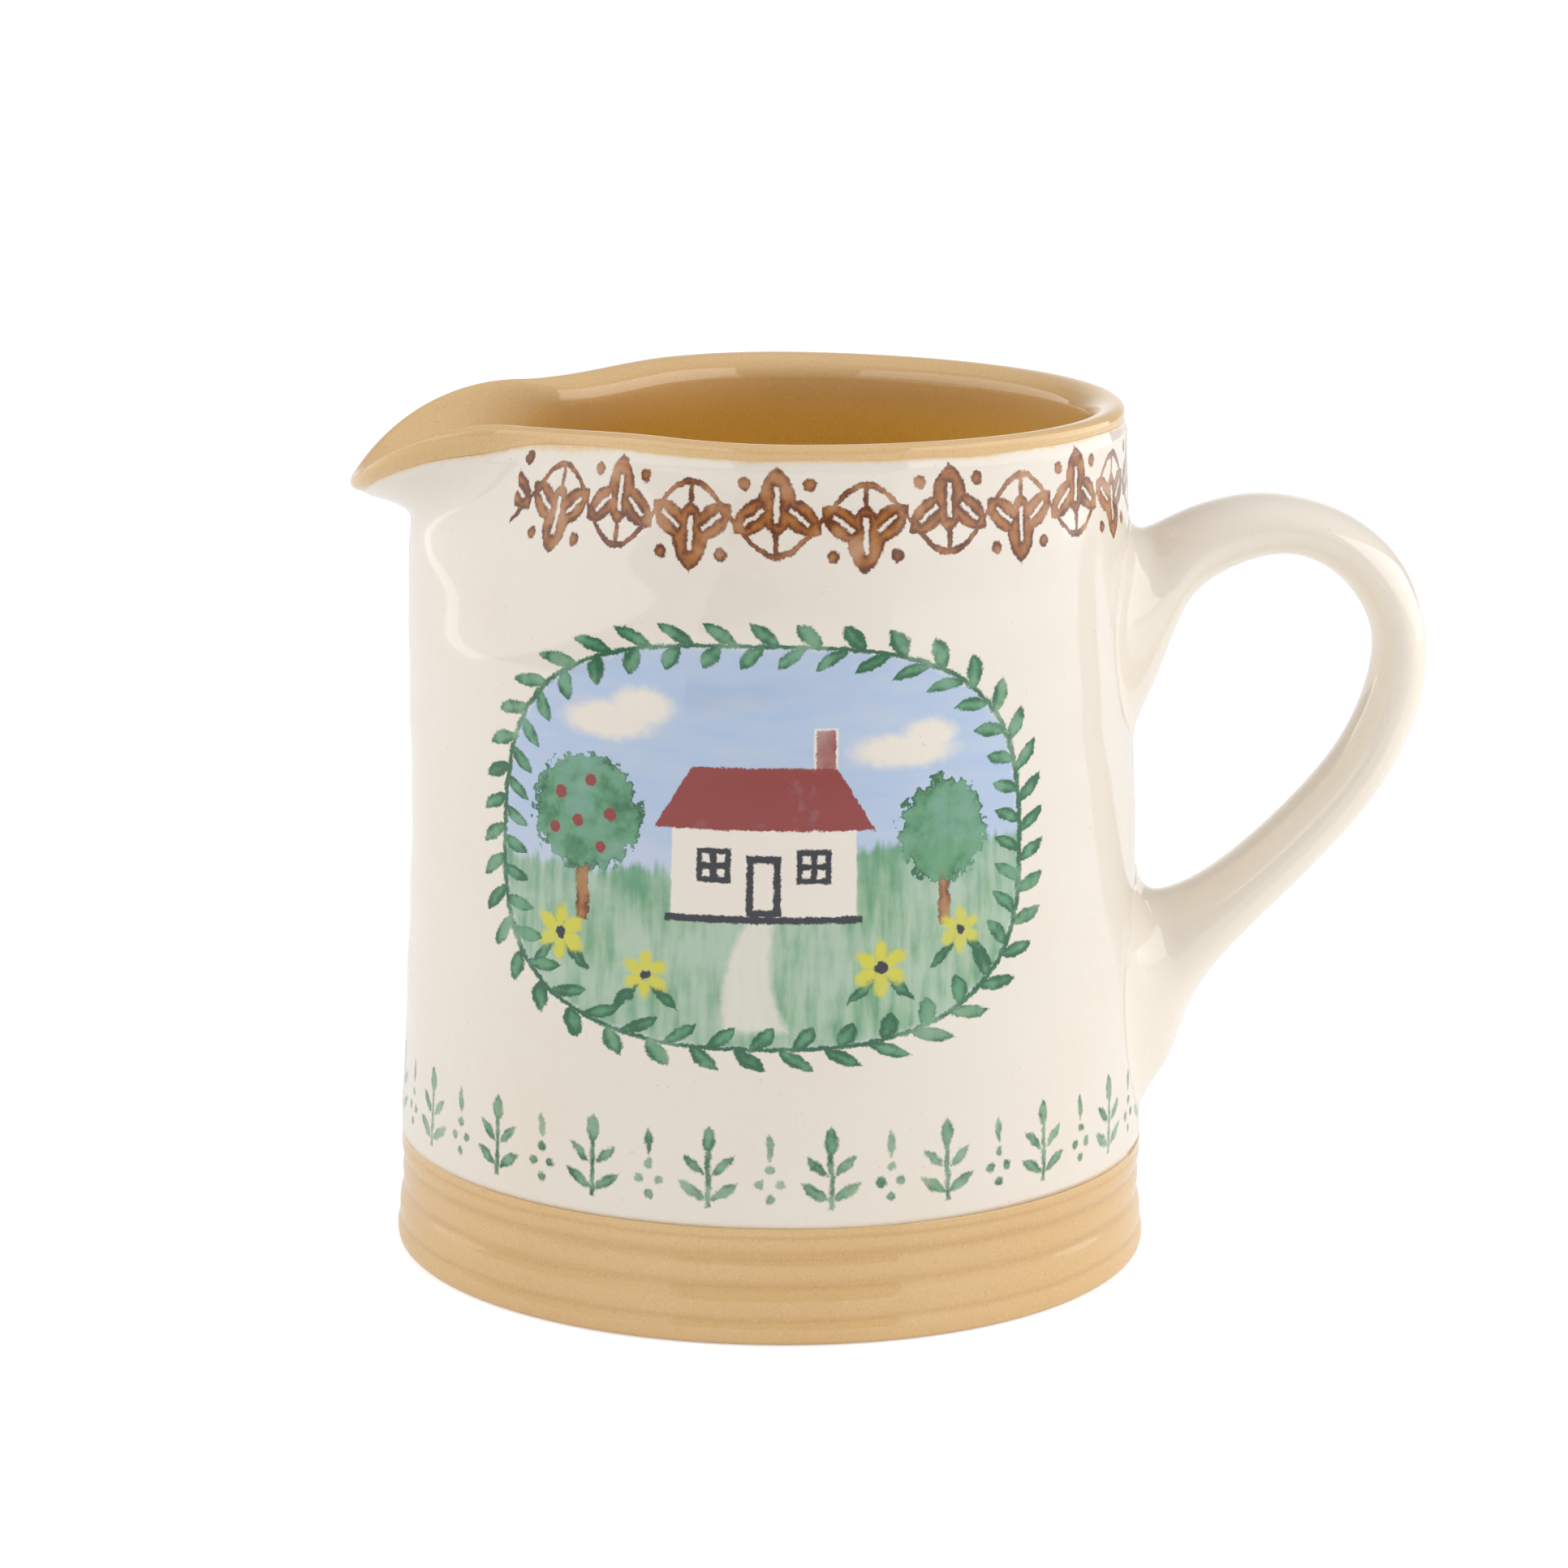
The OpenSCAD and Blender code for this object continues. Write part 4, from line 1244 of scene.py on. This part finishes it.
class JUG_OT_studio(Operator):
    """Set the pale floor, the soft lights and the camera"""

    bl_idname = "jug.studio"
    bl_label = "Studio"

    def execute(self, context):
        studio = context.scene.jug_studio
        self.floor(studio)
        self.lights(studio)
        self.surround(context.scene, studio)
        self.camera(context.scene, studio)
        return {"FINISHED"}

    def floor(self, studio):
        """A plain square, a little whiter to the camera than to the light that reaches the jug."""
        signs = ((-1, -1), (1, -1), (1, 1), (-1, 1))
        reach = studio.floor_reach
        corners = [(x * reach, y * reach, -FLOOR_GAP) for x, y in signs]
        mesh = bpy.data.meshes.new("floor")
        mesh.from_pydata(corners, [], [(0, 1, 2, 3)])
        floor = bpy.data.objects.new("floor", mesh)
        bpy.context.scene.collection.objects.link(floor)
        finish = Finish(bpy.data.materials.new("pale_floor"))
        glow = finish.mixed([studio.floor_glow_low] * 3, [1.0] * 3, finish.camera_sees())
        shone = {"Emission_Color": glow, "Emission_Strength": studio.floor_glow}
        mesh.materials.append(finish.shine(studio.floor, FLOOR_ROUGHNESS, **shone))

    def lights(self, studio):
        """A tall softbox on each side in two parts, the upper one brighter."""
        foot, split, top = -studio.softbox_foot, studio.softbox_split, studio.softbox_top
        for hand, side, inner, low, high in (
            ("left", -1, studio.left_inner, studio.left_low, studio.left_high),
            ("right", 1, studio.right_inner, studio.right_low, studio.right_high),
        ):
            self.softbox(studio, f"softbox_{hand}_low", side, inner, foot, split, low)
            self.softbox(studio, f"softbox_{hand}_high", side, inner, split, top, high)

    def softbox(self, studio, name, side, inner, foot, top, bright):
        """A part of a softbox between two heights, its top leaning away from the camera."""
        turn, lean = np.radians(studio.softbox_turn), np.radians(studio.softbox_lean)
        away = Vector((side * np.sin(turn), -np.cos(turn), 0))
        inward = Vector((-side * np.cos(turn), -np.sin(turn), 0))
        up = Vector((0, 0, np.cos(lean))) - inward * np.sin(lean)
        across = inward * np.cos(lean) + Vector((0, 0, np.sin(lean)))
        wide, tall = inner + studio.softbox_outer, top - foot
        data = bpy.data.lights.new(name, "AREA")
        data.shape, data.size, data.size_y = "RECTANGLE", wide, tall
        data.energy = bright * np.pi * wide * tall
        light = bpy.data.objects.new(name, data)
        middle = away * studio.softbox_distance + across * (inner - studio.softbox_outer) / 2
        middle = middle + up * (top + foot) / 2
        axes = Matrix((up.cross(away), up, away)).transposed()
        light.matrix_world = Matrix.Translation(middle) @ axes.to_4x4()
        light.visible_camera = False
        bpy.context.scene.collection.objects.link(light)

    def surround(self, scene, studio):
        """Soft light from all round, of its own strength on each side; the camera sees white."""
        world = bpy.data.worlds.new("white_surround")
        finish = Finish(world, "Generated", 1.0)
        strength = 0.0
        for toward, power, bright in (
            (finish.x, 2, studio.side_light),
            (finish.y * -1, 2, studio.front_light),
            (finish.y, 2, studio.back_light),
            (finish.y, 12, studio.horizon_light),
            (finish.z, 2, studio.top_light),
        ):
            strength = strength + toward.most(0.0) ** power * bright
        white = colour((1, 1, 1))
        light = finish.node("Background", (), {"Color": white, "Strength": strength}).outputs[0]
        white = finish.node("Background", (), {"Color": white, "Strength": 1.0}).outputs[0]
        both = finish.node("MixShader", (), {0: finish.camera_sees(), 1: light, 2: white})
        finish.node("OutputWorld", (), {0: both.outputs[0]})
        scene.world = world
        scene.view_settings.view_transform = "Standard"

    def camera(self, scene, studio):
        """The camera at the photo's viewing angle, with no shift and no depth of field."""
        data = bpy.data.cameras.new("camera")
        data.sensor_width, data.lens = SENSOR_WIDTH, studio.lens
        camera = bpy.data.objects.new("camera", data)
        pitch, roll = studio.camera_pitch, studio.camera_roll
        turn = Matrix.Rotation(np.pi / 2 - pitch, 4, "X") @ Matrix.Rotation(roll, 4, "Z")
        place = (studio.camera_aside, -studio.camera_distance, studio.camera_height)
        camera.matrix_world = Matrix.Translation(place) @ turn
        scene.collection.objects.link(camera)
        scene.camera = camera


OPERATORS = (JUG_OT_pot, JUG_OT_wall_slip, JUG_OT_handle, JUG_OT_luting, JUG_OT_studio)
SETTINGS = {
    "jug_pot": JugPotSizes,
    "jug_lip": JugLipSizes,
    "jug_handle": JugHandleSizes,
    "jug_colours": JugColours,
    "jug_studio": JugStudio,
}


class VIEW3D_PT_jug(Panel):
    """Lists the jug's sizes, its colours and the steps that make it"""

    bl_label = "Jug"
    bl_space_type = "VIEW_3D"
    bl_region_type = "UI"
    bl_category = "Jug"

    def draw(self, context):
        for operator in OPERATORS:
            self.layout.operator(operator.bl_idname)
        for name, group in SETTINGS.items():
            box = self.layout.box()
            for key in group.__annotations__:
                box.prop(getattr(context.scene, name), key)


def register():
    for kind in (*SETTINGS.values(), *OPERATORS, VIEW3D_PT_jug):
        bpy.utils.register_class(kind)
    for name, group in SETTINGS.items():
        setattr(bpy.types.Scene, name, PointerProperty(type=group))


def unregister():
    for name in SETTINGS:
        delattr(bpy.types.Scene, name)
    for kind in reversed((*SETTINGS.values(), *OPERATORS, VIEW3D_PT_jug)):
        bpy.utils.unregister_class(kind)


def main():
    register()
    bpy.ops.jug.pot()
    bpy.ops.jug.wall_slip()
    bpy.ops.jug.handle()
    bpy.ops.jug.luting()
    bpy.ops.jug.studio()
    bpy.context.view_layer.update()


if __name__ == "__main__":
    main()
